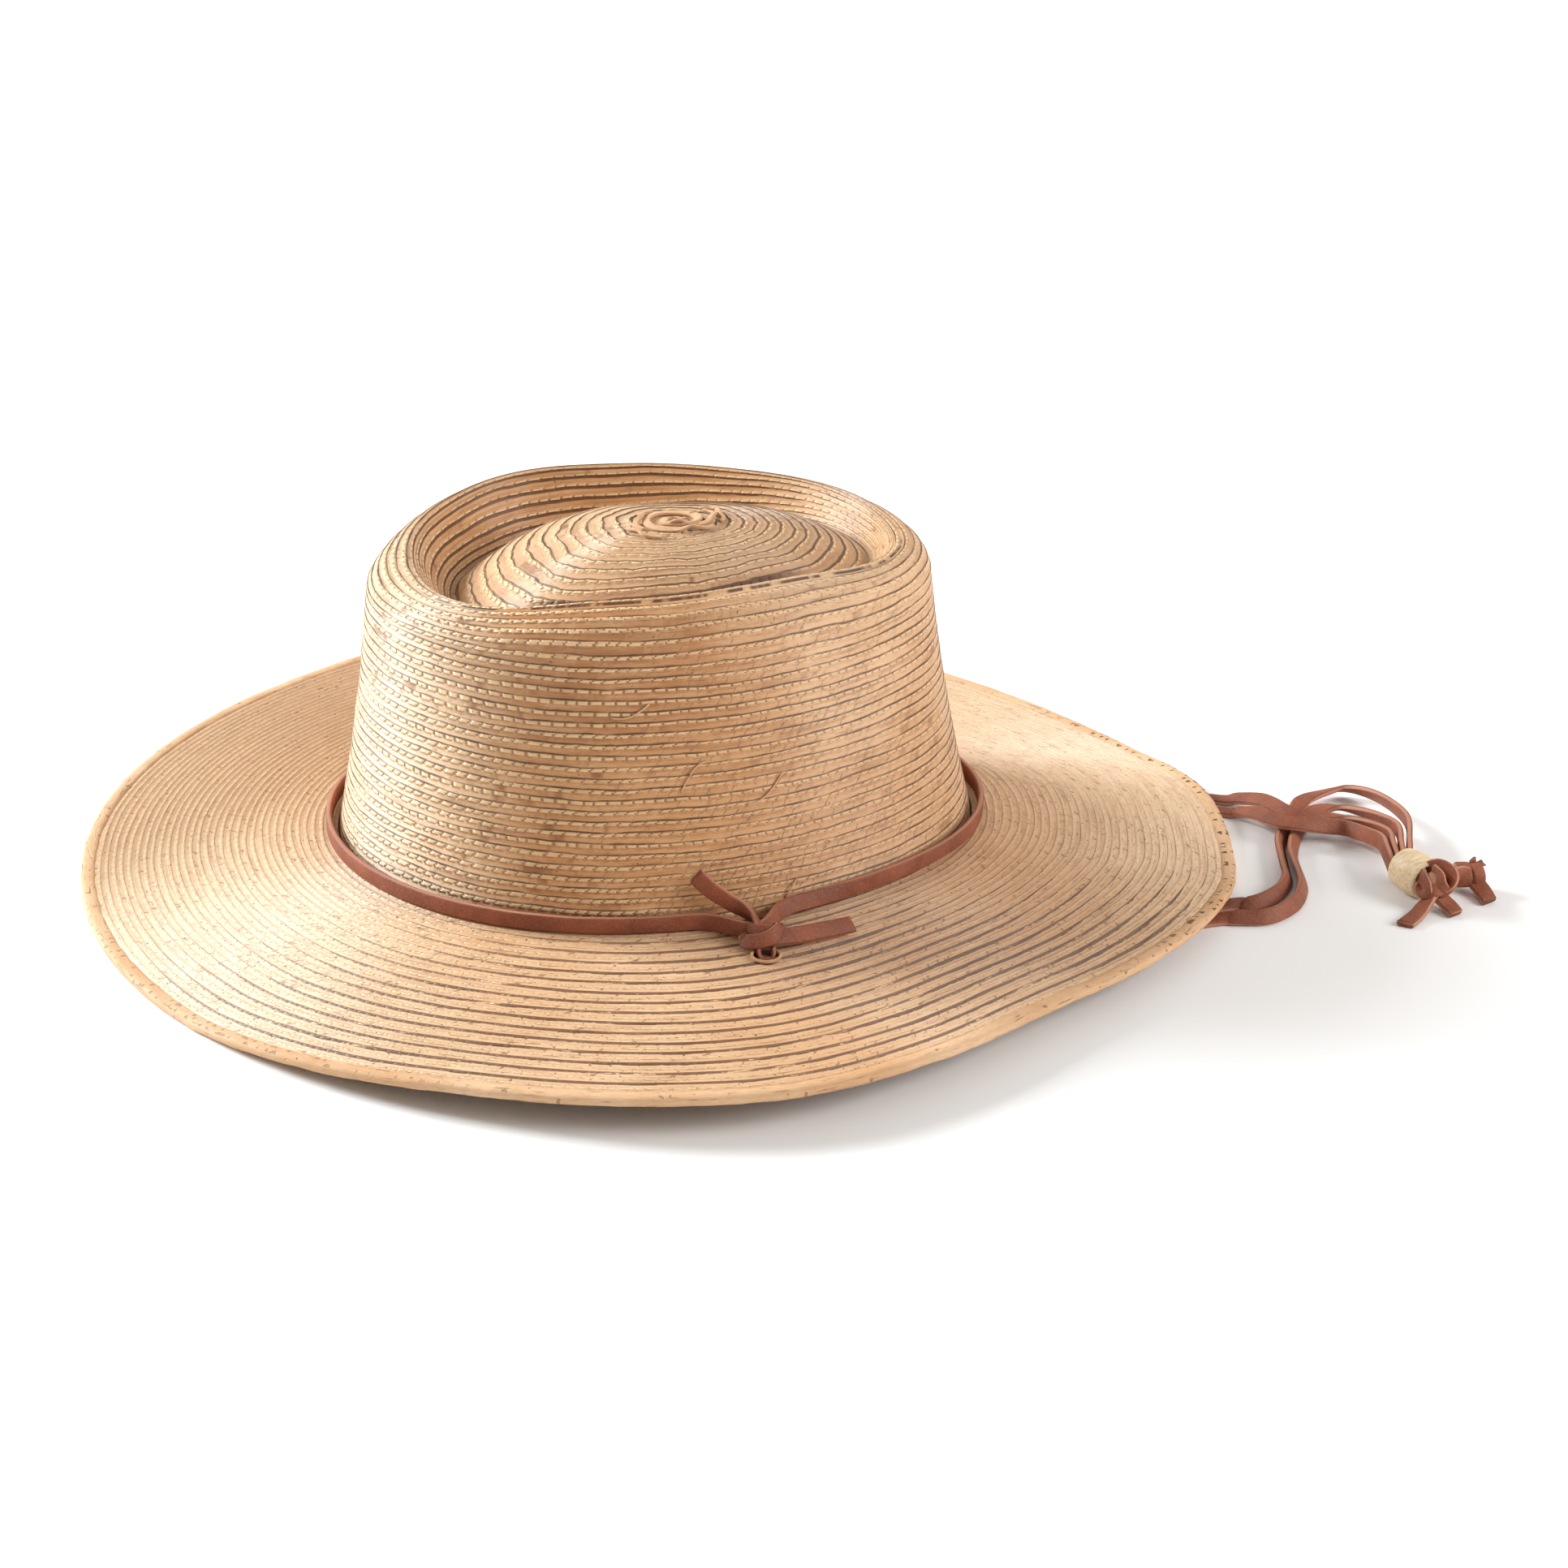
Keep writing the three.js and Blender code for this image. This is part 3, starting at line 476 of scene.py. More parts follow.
def lay_braid_map(bm, levels, row_lengths, name="rows"):
    """UV map with millimetres along a braid row as u, and the braid row as v."""
    station = bm.verts.layers.int["station"]
    level = bm.verts.layers.int["level"]
    layer = bm.loops.layers.uv.new(name)
    count = max(vert[station] for vert in bm.verts) + 1
    last = len(levels) - 1
    for face in bm.faces:
        numbers = [vert[level] for vert in face.verts]
        low, high = min(numbers), max(numbers)
        wraps = high - low > 1
        stations = [vert[station] for vert in face.verts]
        over = max(stations) - min(stations) > 1
        middle = (levels[low] + levels[high]) / 2
        if wraps:
            middle = levels[last] + 0.5
        length = row_lengths(middle)
        for loop in face.loops:
            index = loop.vert[station]
            if over and index == 0:
                index = count
            row = levels[loop.vert[level]]
            loop[layer].uv = (length * index / count, row)


def finish_mesh(bm, name, material, replaced, smooth_faces=True):
    """Makes the object of a finished bmesh, which rides on the hat."""
    mesh = bpy.data.meshes.new(name)
    bm.to_mesh(mesh)
    bm.free()
    for polygon in mesh.polygons:
        polygon.use_smooth = smooth_faces
    mesh.materials.append(material)
    piece = bpy.data.objects.new(name, mesh)
    bpy.context.collection.objects.link(piece)
    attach(piece, BODY)
    if replaced:
        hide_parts(*replaced)
    return piece


# Relief across one row, in millimetres: place in the row, from its lipped edge, and how proud it stands
ROW_RELIEF = [(0.03, 0.16), (0.2, 0.17), (0.42, 0.05), (0.96, -0.08)]
BRIM_RELIEF = 0.3


# Rim of the crown on the near side: a lip, a dark gap and a second lip, as proud, row from the rim, spread
RIM_ROW = WALL_ROWS + SHOULDER_ROWS
RIM_RELIEF = [(0.7, -0.3, 0.35), (-1.3, 0.55, 0.3), (0.7, 1.2, 0.3), (-0.7, 1.9, 0.3)]
RIM_ANGLES = (215, 245, 318, 345)


# Painted shade along the hidden gap between the rim and the dome: its upper edge in rows, and how that climbs per metre
RIM_GAP_ROW = RIM_ROW + 10.05
RIM_GAP_CLIMB = 18
RIM_GAP_CLIMB_ANGLE = 275
RIM_GAP_SIDE_ANGLE = 348


def rim_relief(angle, row):
    """Extra relief of the crown's rim, in millimetres, which fades out towards the far side."""
    fade = smooth((angle - RIM_ANGLES[0]) / (RIM_ANGLES[1] - RIM_ANGLES[0]))
    fade *= 1 - smooth((angle - RIM_ANGLES[2]) / (RIM_ANGLES[3] - RIM_ANGLES[2]))
    place = row - RIM_ROW
    return fade * sum(size * math.exp(-((place - middle) / spread) ** 2) for size, middle, spread in RIM_RELIEF)


def wander(angle, row, size, seed):
    """Slow uneven drift of a braid row, as a share of the row."""
    turn = math.radians(angle)
    place = Vector((3 * math.cos(turn), 3 * math.sin(turn), row * 0.35 + seed))
    fine = Vector((11 * math.cos(turn), 11 * math.sin(turn), row * 0.9 + seed))
    return size * (0.7 * noise.noise(place) + 0.3 * noise.noise(fine))


def crown_object(settings):
    profiles = [CrownProfile(360 * k / CROWN_STATIONS) for k in range(CROWN_STATIONS)]
    rings = []
    levels = []

    def add(row, proud, drift):
        levels.append(row)
        ring = []
        for profile in profiles:
            moved = row + wander(profile.angle, row, drift, 0) if 0 < row < CROWN_BRAID_ROWS - 0.5 else row
            ring.append(profile.point(moved, proud(profile.angle, row)))
        rings.append(ring)

    depth = settings.relief
    for number in range(CROWN_BRAID_ROWS - 1, -1, -1):
        for place, height in ROW_RELIEF:
            row = number + 1 - place
            drift = 0.4 if row > RIM_ROW + CREASE_ROWS else 0.22
            add(row, lambda angle, r, h=height: depth * h + rim_relief(angle, r), drift)
    rim = len(rings)
    inner_rows = [0.5 * k for k in range(2 * WALL_ROWS + 1)] + list(range(WALL_ROWS + 1, CROWN_BRAID_ROWS))
    foot = []
    for profile in profiles:
        reach = profile.foot
        foot.append(hat_point(profile.angle, reach, FOOT_HEIGHT - STRAW_THICKNESS))
    rings.append(foot)
    levels.append(-0.6)
    inner_foot = []
    for profile in profiles:
        inner_foot.append(hat_point(profile.angle, profile.foot - STRAW_THICKNESS, FOOT_HEIGHT - STRAW_THICKNESS))
    rings.append(inner_foot)
    levels.append(-1.2)
    for row in inner_rows:
        ring = []
        sink = 0.12 if row != int(row) else -0.06
        for profile in profiles:
            ring.append(profile.point(min(row, CROWN_BRAID_ROWS - 0.3), -STRAW_THICKNESS - sink))
        rings.append(ring)
        levels.append(-2 - row)
    bm = grow_rings(rings)

    def row_length(row):
        row = row if row >= 0 else -row - 2
        reach = profiles[0].at(min(CROWN_BRAID_ROWS, max(0, row)))[0]
        return max(6, round(2 * math.pi * 0.93 * reach))

    lay_braid_map(bm, levels, row_length)
    return finish_mesh(bm, "crown_braid", straw_material(settings, "crown_straw", 1), ["crown"])


def brim_object(settings):
    angles = [360 * k / BRIM_STATIONS for k in range(BRIM_STATIONS)]
    feet = [foot_reach(angle) + CLEARANCE for angle in angles]
    outers = [hem_middle(angle)[0] - HEM_WIDTH / 2 + 1 for angle in angles]
    rings = []
    levels = []

    def add(row, lift):
        ring = []
        for angle, foot, outer in zip(angles, feet, outers):
            drift = wander(angle, row, 0.3, 40) if 0.5 < row < BRAID_ROWS_IN_BRIM - 0.5 else 0
            share = (row + drift) / BRAID_ROWS_IN_BRIM
            reach = foot + (outer - foot) * share
            ring.append(hat_point(angle, reach, brim_top(angle, share) + lift))
        rings.append(ring)
        levels.append(row)

    depth = settings.relief
    for number in range(BRAID_ROWS_IN_BRIM):
        for place, height in ROW_RELIEF:
            add(number + place, depth * height * BRIM_RELIEF)
    upper = len(rings)
    for number in range(BRAID_ROWS_IN_BRIM, -1, -1):
        for place, height in ((0.5, -0.1), (0.0, 0.12)):
            row = number + place
            if row <= BRAID_ROWS_IN_BRIM:
                add(row, -STRAW_THICKNESS + height)
                levels[-1] = -2 - row
    bm = grow_rings(rings, joined_ends=True)

    def row_length(row):
        row = abs(row)
        share = min(1, row / BRAID_ROWS_IN_BRIM)
        return round(2 * math.pi * (88 + (172 - 88) * share))

    lay_braid_map(bm, levels, row_length)
    piece = finish_mesh(bm, "brim_braid", straw_material(settings, "brim_straw", 0), ["brim"])
    for number, (x, y) in enumerate(EYELETS):
        punch = bmesh.new()
        bmesh.ops.create_cone(
            punch, cap_ends=True, segments=40, radius1=EYELET_RADIUS * MM, radius2=EYELET_RADIUS * MM, depth=0.03
        )
        bmesh.ops.translate(punch, verts=punch.verts, vec=Vector((x, y, FOOT_HEIGHT)) * MM)
        mesh = bpy.data.meshes.new("punch")
        punch.to_mesh(mesh)
        punch.free()
        cutter = bpy.data.objects.new("punch", mesh)
        bpy.context.collection.objects.link(cutter)
        cut = piece.modifiers.new("eyelet", "BOOLEAN")
        cut.operation = "DIFFERENCE"
        cut.solver = "EXACT"
        cut.object = cutter
        with bpy.context.temp_override(object=piece, active_object=piece):
            bpy.ops.object.modifier_apply(modifier=cut.name)
        bpy.data.objects.remove(cutter)
    return piece


def eyelet_rims(settings):
    """Pale cut straw round the two eyelets."""
    whole = new_whole()
    for x, y in EYELETS:
        rings = []
        for step in range(48):
            turn = math.radians(7.5 * step)
            uneven = 0.12 * noise.noise(Vector((3 * math.cos(turn), 3 * math.sin(turn), y)))
            ring = []
            for side in range(8):
                bend = math.radians(45 * side)
                reach = EYELET_RADIUS + 0.1 + uneven + 0.45 * math.cos(bend)
                height = FOOT_HEIGHT - 0.45 + 0.55 * math.sin(bend)
                ring.append(Vector((x + reach * math.cos(turn), y + reach * math.sin(turn), height)) * MM)
            rings.append(ring)
        bm = grow_rings(rings, joined_ends=True)
        lay_lace_map(bm, [0.55 * step for step in range(48)], 26.4)
        add_bmesh(whole, bm)
    material = shared_material("hem_straw", hem_material, settings)
    return finish_mesh(whole, "eyelet_rims", material, [])


def hem_object(settings):
    sides = 16
    count = 720
    rings = []
    for k in range(count):
        angle = 360 * k / count
        reach, height = hem_middle(angle)
        turn_angle = math.radians(angle)
        ring = []
        for side in range(sides):
            turn = 2 * math.pi * (side + 0.5) / sides
            place = Vector((math.cos(turn_angle), math.sin(turn_angle), 0.05 * math.sin(turn)))
            squash = 0.88 + 0.16 * noise.noise(place * 22)
            push = 0.25 * noise.noise(place * 34 + Vector((5, 0, 0)))
            x = math.copysign(abs(math.cos(turn)) ** 0.7, math.cos(turn)) * (HEM_WIDTH / 2 * 0.97 + push)
            z = math.copysign(abs(math.sin(turn)) ** 0.7, math.sin(turn)) * HEM_THICKNESS / 2 * squash * 0.98
            ring.append(hat_point(angle, reach + x, max(0.03, height + z)))
        rings.append(ring)
    bm = grow_rings(rings, joined_ends=True)
    levels = [1100 * k / count for k in range(count)]
    lay_lace_map(bm, levels, 1100)
    material = shared_material("hem_straw", hem_material, settings)
    return finish_mesh(bm, "hem_roll", material, ["brim_edge"])


def lay_lace_map(bm, lengths, whole=None):
    """UV map with millimetres along a lace as u, and the share of the way round its section as v."""
    station = bm.verts.layers.int["station"]
    level = bm.verts.layers.int["level"]
    layer = bm.loops.layers.uv.new("lace")
    count = max(vert[station] for vert in bm.verts) + 1
    for face in bm.faces:
        numbers = [vert[level] for vert in face.verts]
        stations = [vert[station] for vert in face.verts]
        wraps = max(numbers) - min(numbers) > 1
        over = max(stations) - min(stations) > 1 and len(face.verts) == 4
        for loop in face.loops:
            number = loop.vert[level]
            index = loop.vert[station]
            if over and index == 0:
                index = count
            along = whole if wraps and number == 0 and whole else lengths[number]
            loop[layer].uv = (along, index / count)


def lace_section(width=LACE_WIDTH, thickness=LACE_THICKNESS, corner=LACE_CORNER):
    """Corners of a flat lace with rounded edges: x across its face, y through its thickness."""
    x = width / 2
    y = thickness / 2
    corners = []
    for sx, sy, start in ((1, 1, 0), (-1, 1, 90), (-1, -1, 180), (1, -1, 270)):
        for step in range(4):
            turn = math.radians(start + 30 * step)
            corners.append((
                sx * (x - corner) + corner * math.cos(turn),
                sy * (y - corner) + corner * math.sin(turn),
            ))
    return corners


def catmull(a, b, c, d, t):
    return b + t * 0.5 * ((c - a) + t * ((2 * a - 5 * b + 4 * c - d) + t * (3 * (b - c) + d - a)))


def smooth_route(rows, steps):
    """Points and leans of a route, on a smooth curve through its rows."""
    points = [Vector(row[:3]) for row in rows]
    leans = [row[3] for row in rows]
    out = []
    last = len(rows) - 1
    for index in range(last):
        picks = [max(0, index - 1), index, index + 1, min(last, index + 2)]
        for step in range(steps):
            t = step / steps
            out.append((
                catmull(*[points[p] for p in picks], t),
                catmull(*[leans[p] for p in picks], t),
            ))
    out.append((points[last], leans[last]))
    return out


def lace_rings(route, section, reference=Vector((0, 0, 1)), closed=False, skew=0):
    """Rings of a flat lace along a route of points in metres and leans in degrees.

    A lace with no lean shows its face to the reference direction. skew cuts its last end aslant.
    """
    rings = []
    count = len(route)
    for index, (point, lean) in enumerate(route):
        if closed:
            before = route[(index - 1) % count][0]
            after = route[(index + 1) % count][0]
        else:
            before = route[max(0, index - 1)][0]
            after = route[min(count - 1, index + 1)][0]
        tangent = (after - before).normalized()
        flat = tangent.cross(reference)
        if flat.length < 1e-3:
            flat = Vector((1, 0, 0))
        flat.normalize()
        across = Matrix.Rotation(math.radians(lean), 3, tangent) @ flat
        through = tangent.cross(across).normalized()
        uneven = 1 + 0.05 * noise.noise(point * 150)
        slant = tangent * skew if index == count - 1 else Vector()
        rings.append([point + (across * x * uneven + through * y + slant * x) * MM for x, y in section])
    return rings


def along(route):
    lengths = [0]
    for before, after in zip(route, route[1:]):
        lengths.append(lengths[-1] + (after[0] - before[0]).length / MM)
    return lengths


def chin_lace_object(name, settings, material):
    route = smooth_route(LACE_ROUTES[name], 6)
    bm = grow_rings(lace_rings(route, lace_section()))
    lay_lace_map(bm, along(route))
    piece = finish_mesh(bm, name + "_strap", material, [name])
    return piece, route


def add_strand(whole, rows, steps=5, section=None, reference=Vector((0, 0, 1)), skew=0):
    """Adds a short lace to a bmesh. Its rows are x, y, z in millimetres and a lean in degrees."""
    route = smooth_route([(x * MM, y * MM, z * MM, lean) for x, y, z, lean in rows], steps)
    bm = grow_rings(lace_rings(route, section or lace_section(), reference, skew=skew))
    lay_lace_map(bm, along(route))
    add_bmesh(whole, bm)


def add_bmesh(whole, bm):
    mesh = bpy.data.meshes.new("part")
    bm.to_mesh(mesh)
    bm.free()
    whole.from_mesh(mesh)
    bpy.data.meshes.remove(mesh)


def view_rows(centre, rows):
    """Rows of x, y, z and lean from rows of right, up, near and lean about a centre."""
    right, up, near = view_axes()
    placed = []
    for to_right, to_up, to_near, lean in rows:
        point = Vector(centre) + right * to_right + up * to_up + near * to_near
        placed.append((*point, lean))
    return placed


def add_core(whole, centre, size):
    """Adds the hidden middle of a knot, an ellipsoid of full size in millimetres."""
    bm = bmesh.new()
    bm.loops.layers.uv.new("lace")
    bmesh.ops.create_icosphere(bm, subdivisions=3, radius=0.5)
    bmesh.ops.scale(bm, verts=bm.verts, vec=Vector(size) * MM)
    bmesh.ops.translate(bm, verts=bm.verts, vec=Vector(centre) * MM)
    add_bmesh(whole, bm)


def add_wrap(whole, centre, axis, radii, width, start=0, steps=28):
    """Adds one closed turn of lace round an axis, with its two half sizes in millimetres."""
    axis = Vector(axis).normalized()
    side = axis.cross(Vector((0, 0, 1)))
    if side.length < 0.1:
        side = axis.cross(Vector((0, 1, 0)))
    side.normalize()
    other = axis.cross(side)
    rings = []
    section = lace_section(width)
    lengths = []
    for step in range(steps):
        turn = 2 * math.pi * step / steps + start
        out = side * math.cos(turn) * radii[0] + other * math.sin(turn) * radii[1]
        middle = Vector(centre) + out + axis * 0.25 * math.sin(turn + 1)
        through = (side * math.cos(turn) * radii[1] + other * math.sin(turn) * radii[0]).normalized()
        rings.append([(middle + axis * x + through * y) * MM for x, y in section])
        lengths.append(step * 0.8)
    bm = grow_rings(rings, joined_ends=True)
    lay_lace_map(bm, lengths, steps * 0.8)
    add_bmesh(whole, bm)


def new_whole():
    bm = bmesh.new()
    bm.loops.layers.uv.new("lace")
    return bm


def band_route():
    """Middle of the hat band in metres, with its face upright against the crown."""
    route = []
    for step in range(BAND_STATIONS):
        angle = 360 * step / BAND_STATIONS
        standoff = BAND_END_STANDOFF * math.cos(math.radians(angle)) ** 2
        drawn_out = BAND_KNOT_REACH * math.exp(-((angle - BAND_KNOT_ANGLE) / BAND_KNOT_SPREAD) ** 2)
        rise = BAND_RISE * math.exp(-((angle - BAND_RISE_ANGLE) / BAND_RISE_SPREAD) ** 2)
        reach = foot_reach(angle) + CLEARANCE + LACE_THICKNESS / 2 + standoff + drawn_out
        lean = 90 - BAND_TILT * math.exp(-((angle - BAND_TILT_ANGLE) / BAND_TILT_SPREAD) ** 2)
        route.append((hat_point(angle, reach, FOOT_HEIGHT + CLEARANCE + LACE_WIDTH / 2 + rise), lean))
    return route


def band_object(material):
    whole = new_whole()
    route = band_route()
    bm = grow_rings(lace_rings(route, lace_section(), closed=True), joined_ends=True)
    lay_lace_map(bm, along(route), 580)
    add_bmesh(whole, bm)
    add_strand(whole, WALL_TAIL, skew=-0.2)
    add_strand(whole, BRIM_TAIL, skew=0.12)
    add_core(whole, BAND_KNOT, BAND_CORE)
    near = view_axes()[2]
    for rows in (BAND_WRAP, BAND_UNDER_WRAP):
        add_strand(whole, view_rows(BAND_KNOT, rows), reference=near, section=lace_section(4.4, 1.5))
    add_strand(whole, view_rows(BAND_KNOT, BAND_LOOP), reference=near, section=lace_section(3.4, 1.3))
    return finish_mesh(whole, "band_lace", material, ["hat_band"])


def far_knot_object(material):
    whole = new_whole()
    add_core(whole, FAR_KNOT, FAR_CORE)
    add_wrap(whole, FAR_KNOT, (1, 0.15, 0), (3.9, 2.1), 4.6)
    add_wrap(whole, FAR_KNOT, (0.25, 1, 0), (4.3, 2.3), 3.6, 1.0)
    return finish_mesh(whole, "far_knot", material, ["far_stop_knot"])


def end_knots(material):
    near = view_axes()[2]
    whole = new_whole()
    add_core(whole, INNER_KNOT, (7.6, 7, 8))
    for rows in INNER_WRAPS:
        add_strand(whole, view_rows(INNER_KNOT, rows), reference=near, section=lace_section(4.2, 1.5))
    for rows in INNER_TAILS:
        add_strand(whole, rows, skew=0.2)
    finish_mesh(whole, "near_end_knot", material, ["end_knot_a"])
    whole = new_whole()
    right = view_axes()[0]
    add_core(whole, OUTER_KNOT, (6, 5.6, 5.6))
    add_wrap(whole, Vector(OUTER_KNOT) - right * 2.0, right, (2.9, 3.1), 4.2)
    add_wrap(whole, Vector(OUTER_KNOT) + right * 1.9, right + Vector((0, 0.25, 0.1)), (2.6, 3.0), 3.8, 0.7)
    for rows in OUTER_FRILLS:
        add_strand(whole, view_rows(OUTER_KNOT, rows), reference=near, section=lace_section(2.4, 1.2), skew=0.6)
    for rows in OUTER_TAILS:
        add_strand(whole, rows, skew=0.4)
    finish_mesh(whole, "outer_end_knot", material, ["end_knot_b"])


def bead_object(material):
    """Turned barrel with rounded edges and a bore, lying along its heading."""
    bm = bmesh.new()
    half = BEAD_LENGTH / 2
    outline = []
    for step in range(13):
        along_axis = (half - BEAD_EDGE) * (step / 6 - 1)
        bulge = (BEAD_RADIUS - BEAD_END_RADIUS) * (1 - (along_axis / half) ** 2)
        outline.append((BEAD_END_RADIUS + bulge, along_axis))
    for sign in (1, -1):
        for turn in ((30, 60, 90) if sign > 0 else (90, 60, 30)):
            t = math.radians(turn)
            point = (
                BEAD_END_RADIUS - BEAD_EDGE * (1 - math.cos(t)),
                sign * (half - BEAD_EDGE * (1 - math.sin(t))),
            )
            outline.insert(len(outline) if sign > 0 else 0, point) if sign > 0 else outline.insert(0, point)
    outline = sorted(outline, key=lambda p: p[1])
    outline += [(BEAD_BORE + 0.3, half), (BEAD_BORE, half - 0.4), (BEAD_BORE, 0.4 - half), (BEAD_BORE + 0.3, -half)]
    verts = [bm.verts.new((radius * MM, 0, height * MM)) for radius, height in outline]
    for a, b in zip(verts, verts[1:] + verts[:1]):
        bm.edges.new((a, b))
    bmesh.ops.spin(
        bm, geom=bm.verts[:] + bm.edges[:], axis=(0, 0, 1), cent=(0, 0, 0),
        angle=2 * math.pi, steps=64, use_merge=True,
    )
    bmesh.ops.recalc_face_normals(bm, faces=bm.faces)
    heading = math.radians(BEAD_HEADING)
    turn = Vector((0, 0, 1)).rotation_difference(Vector((math.cos(heading), math.sin(heading), 0)))
    bmesh.ops.rotate(bm, verts=bm.verts, cent=(0, 0, 0), matrix=turn.to_matrix())
    bmesh.ops.translate(bm, verts=bm.verts, vec=Vector(BEAD_CENTRE) * MM)
    return finish_mesh(bm, "wood_bead", material, ["bead"])


def tip_curl_object(settings, material):
    """Start of the braid, curled up on top of the dome, and a few loose straws."""
    whole = bmesh.new()
    whole.loops.layers.uv.new("lace")
    for curl in TIP_CURLS:
        rows = []
        for step in range(TIP_STEPS + 1):
            t = step / TIP_STEPS
            row = CROWN_BRAID_ROWS - curl.first_row - (curl.last_row - curl.first_row) * t
            row += 0.16 * math.sin(11 * t + curl.first_row)
            lift = TIP_LIFT + curl.lift * math.sin(math.pi * t) ** 2
            point = CrownProfile(curl.angle + curl.turn * t).point(row, lift) / MM
            rows.append((*point, 18 * math.sin(9 * t)))
        add_strand(whole, rows, steps=2, section=lace_section(curl.width, 0.9, 0.3))
    for strand in LOOSE_STRAWS:
        start = CrownProfile(strand.angle)
        route = []
        for step in range(7):
            t = step / 6
            angle = strand.angle + strand.turn * t
            row = strand.row + strand.rise * t + strand.bow * math.sin(math.pi * t)
            lift = 0.25 + strand.lift * math.sin(math.pi * t)
            route.append((*(CrownProfile(angle).point(row, lift) / MM), 90))
        add_strand(whole, route, steps=3, section=lace_section(0.6, 0.3, 0.12))
    return finish_mesh(whole, "loose_straw", material, [])


class Graph:
    """Short way to add and join the nodes of one material."""

    def __init__(self, name):
        self.material = bpy.data.materials.new(name)
        self.material.use_nodes = True
        self.tree = self.material.node_tree
        self.shader = self.tree.nodes["Principled BSDF"]

    def add(self, kind, inputs=(), output=0, **settings):
        node = self.tree.nodes.new(kind)
        for key, value in settings.items():
            setattr(node, key, value)
        for key, value in dict(inputs).items():
            self.put(node.inputs[key], value)
        return node.outputs[output]

    def put(self, socket, value):
        if isinstance(value, bpy.types.NodeSocket):
            self.tree.links.new(value, socket)
        else:
            socket.default_value = value

    def math(self, operation, a, b=0.0, clamp=False):
        return self.add("ShaderNodeMath", {0: a, 1: b}, operation=operation, use_clamp=clamp)

    def band(self, value, low, high, to_low=0.0, to_high=1.0):
        """Smooth step from to_low to to_high as value goes from low to high."""
        return self.add(
            "ShaderNodeMapRange",
            {"Value": value, "From Min": low, "From Max": high, "To Min": to_low, "To Max": to_high},
            interpolation_type="SMOOTHSTEP",
        )

    def mix(self, factor, a, b, blend="MIX"):
        node = self.tree.nodes.new("ShaderNodeMix")
        node.data_type = "RGBA"
        node.blend_type = blend
        self.put(node.inputs[0], factor)
        self.put(node.inputs[6], a)
        self.put(node.inputs[7], b)
        return node.outputs[2]

    def random(self, x, y=0.0, output=0):
        """Even random value for each pair of whole numbers."""
        vector = self.add("ShaderNodeCombineXYZ", {"X": x, "Y": y})
        return self.add("ShaderNodeTexWhiteNoise", {"Vector": vector}, output=output, noise_dimensions="3D")

    def noise(self, vector, scale, detail=3.0, roughness=0.5, output=0):
        return self.add(
            "ShaderNodeTexNoise",
            {"Vector": vector, "Scale": scale, "Detail": detail, "Roughness": roughness},
            output=output,
        )

    def vector(self, x, y, z=0.0):
        return self.add("ShaderNodeCombineXYZ", {"X": x, "Y": y, "Z": z})

    def toward(self, ground, angle):
        """How far a place lies from the hat's middle towards a direction in degrees, in metres."""
        split = self.tree.nodes.new("ShaderNodeSeparateXYZ")
        self.put(split.inputs[0], ground)
        x = self.math("MULTIPLY", split.outputs[0], math.cos(math.radians(angle)))
        y = self.math("MULTIPLY", split.outputs[1], math.sin(math.radians(angle)))
        return self.math("ADD", x, y)

    def finish(self, colour, roughness, height, distance):
        self.put(self.shader.inputs["Base Color"], colour)
        self.put(self.shader.inputs["Roughness"], roughness)
        bump = self.add("ShaderNodeBump", {"Strength": 1.0, "Distance": distance, "Height": height})
        self.put(self.shader.inputs["Normal"], bump)
        return self.material


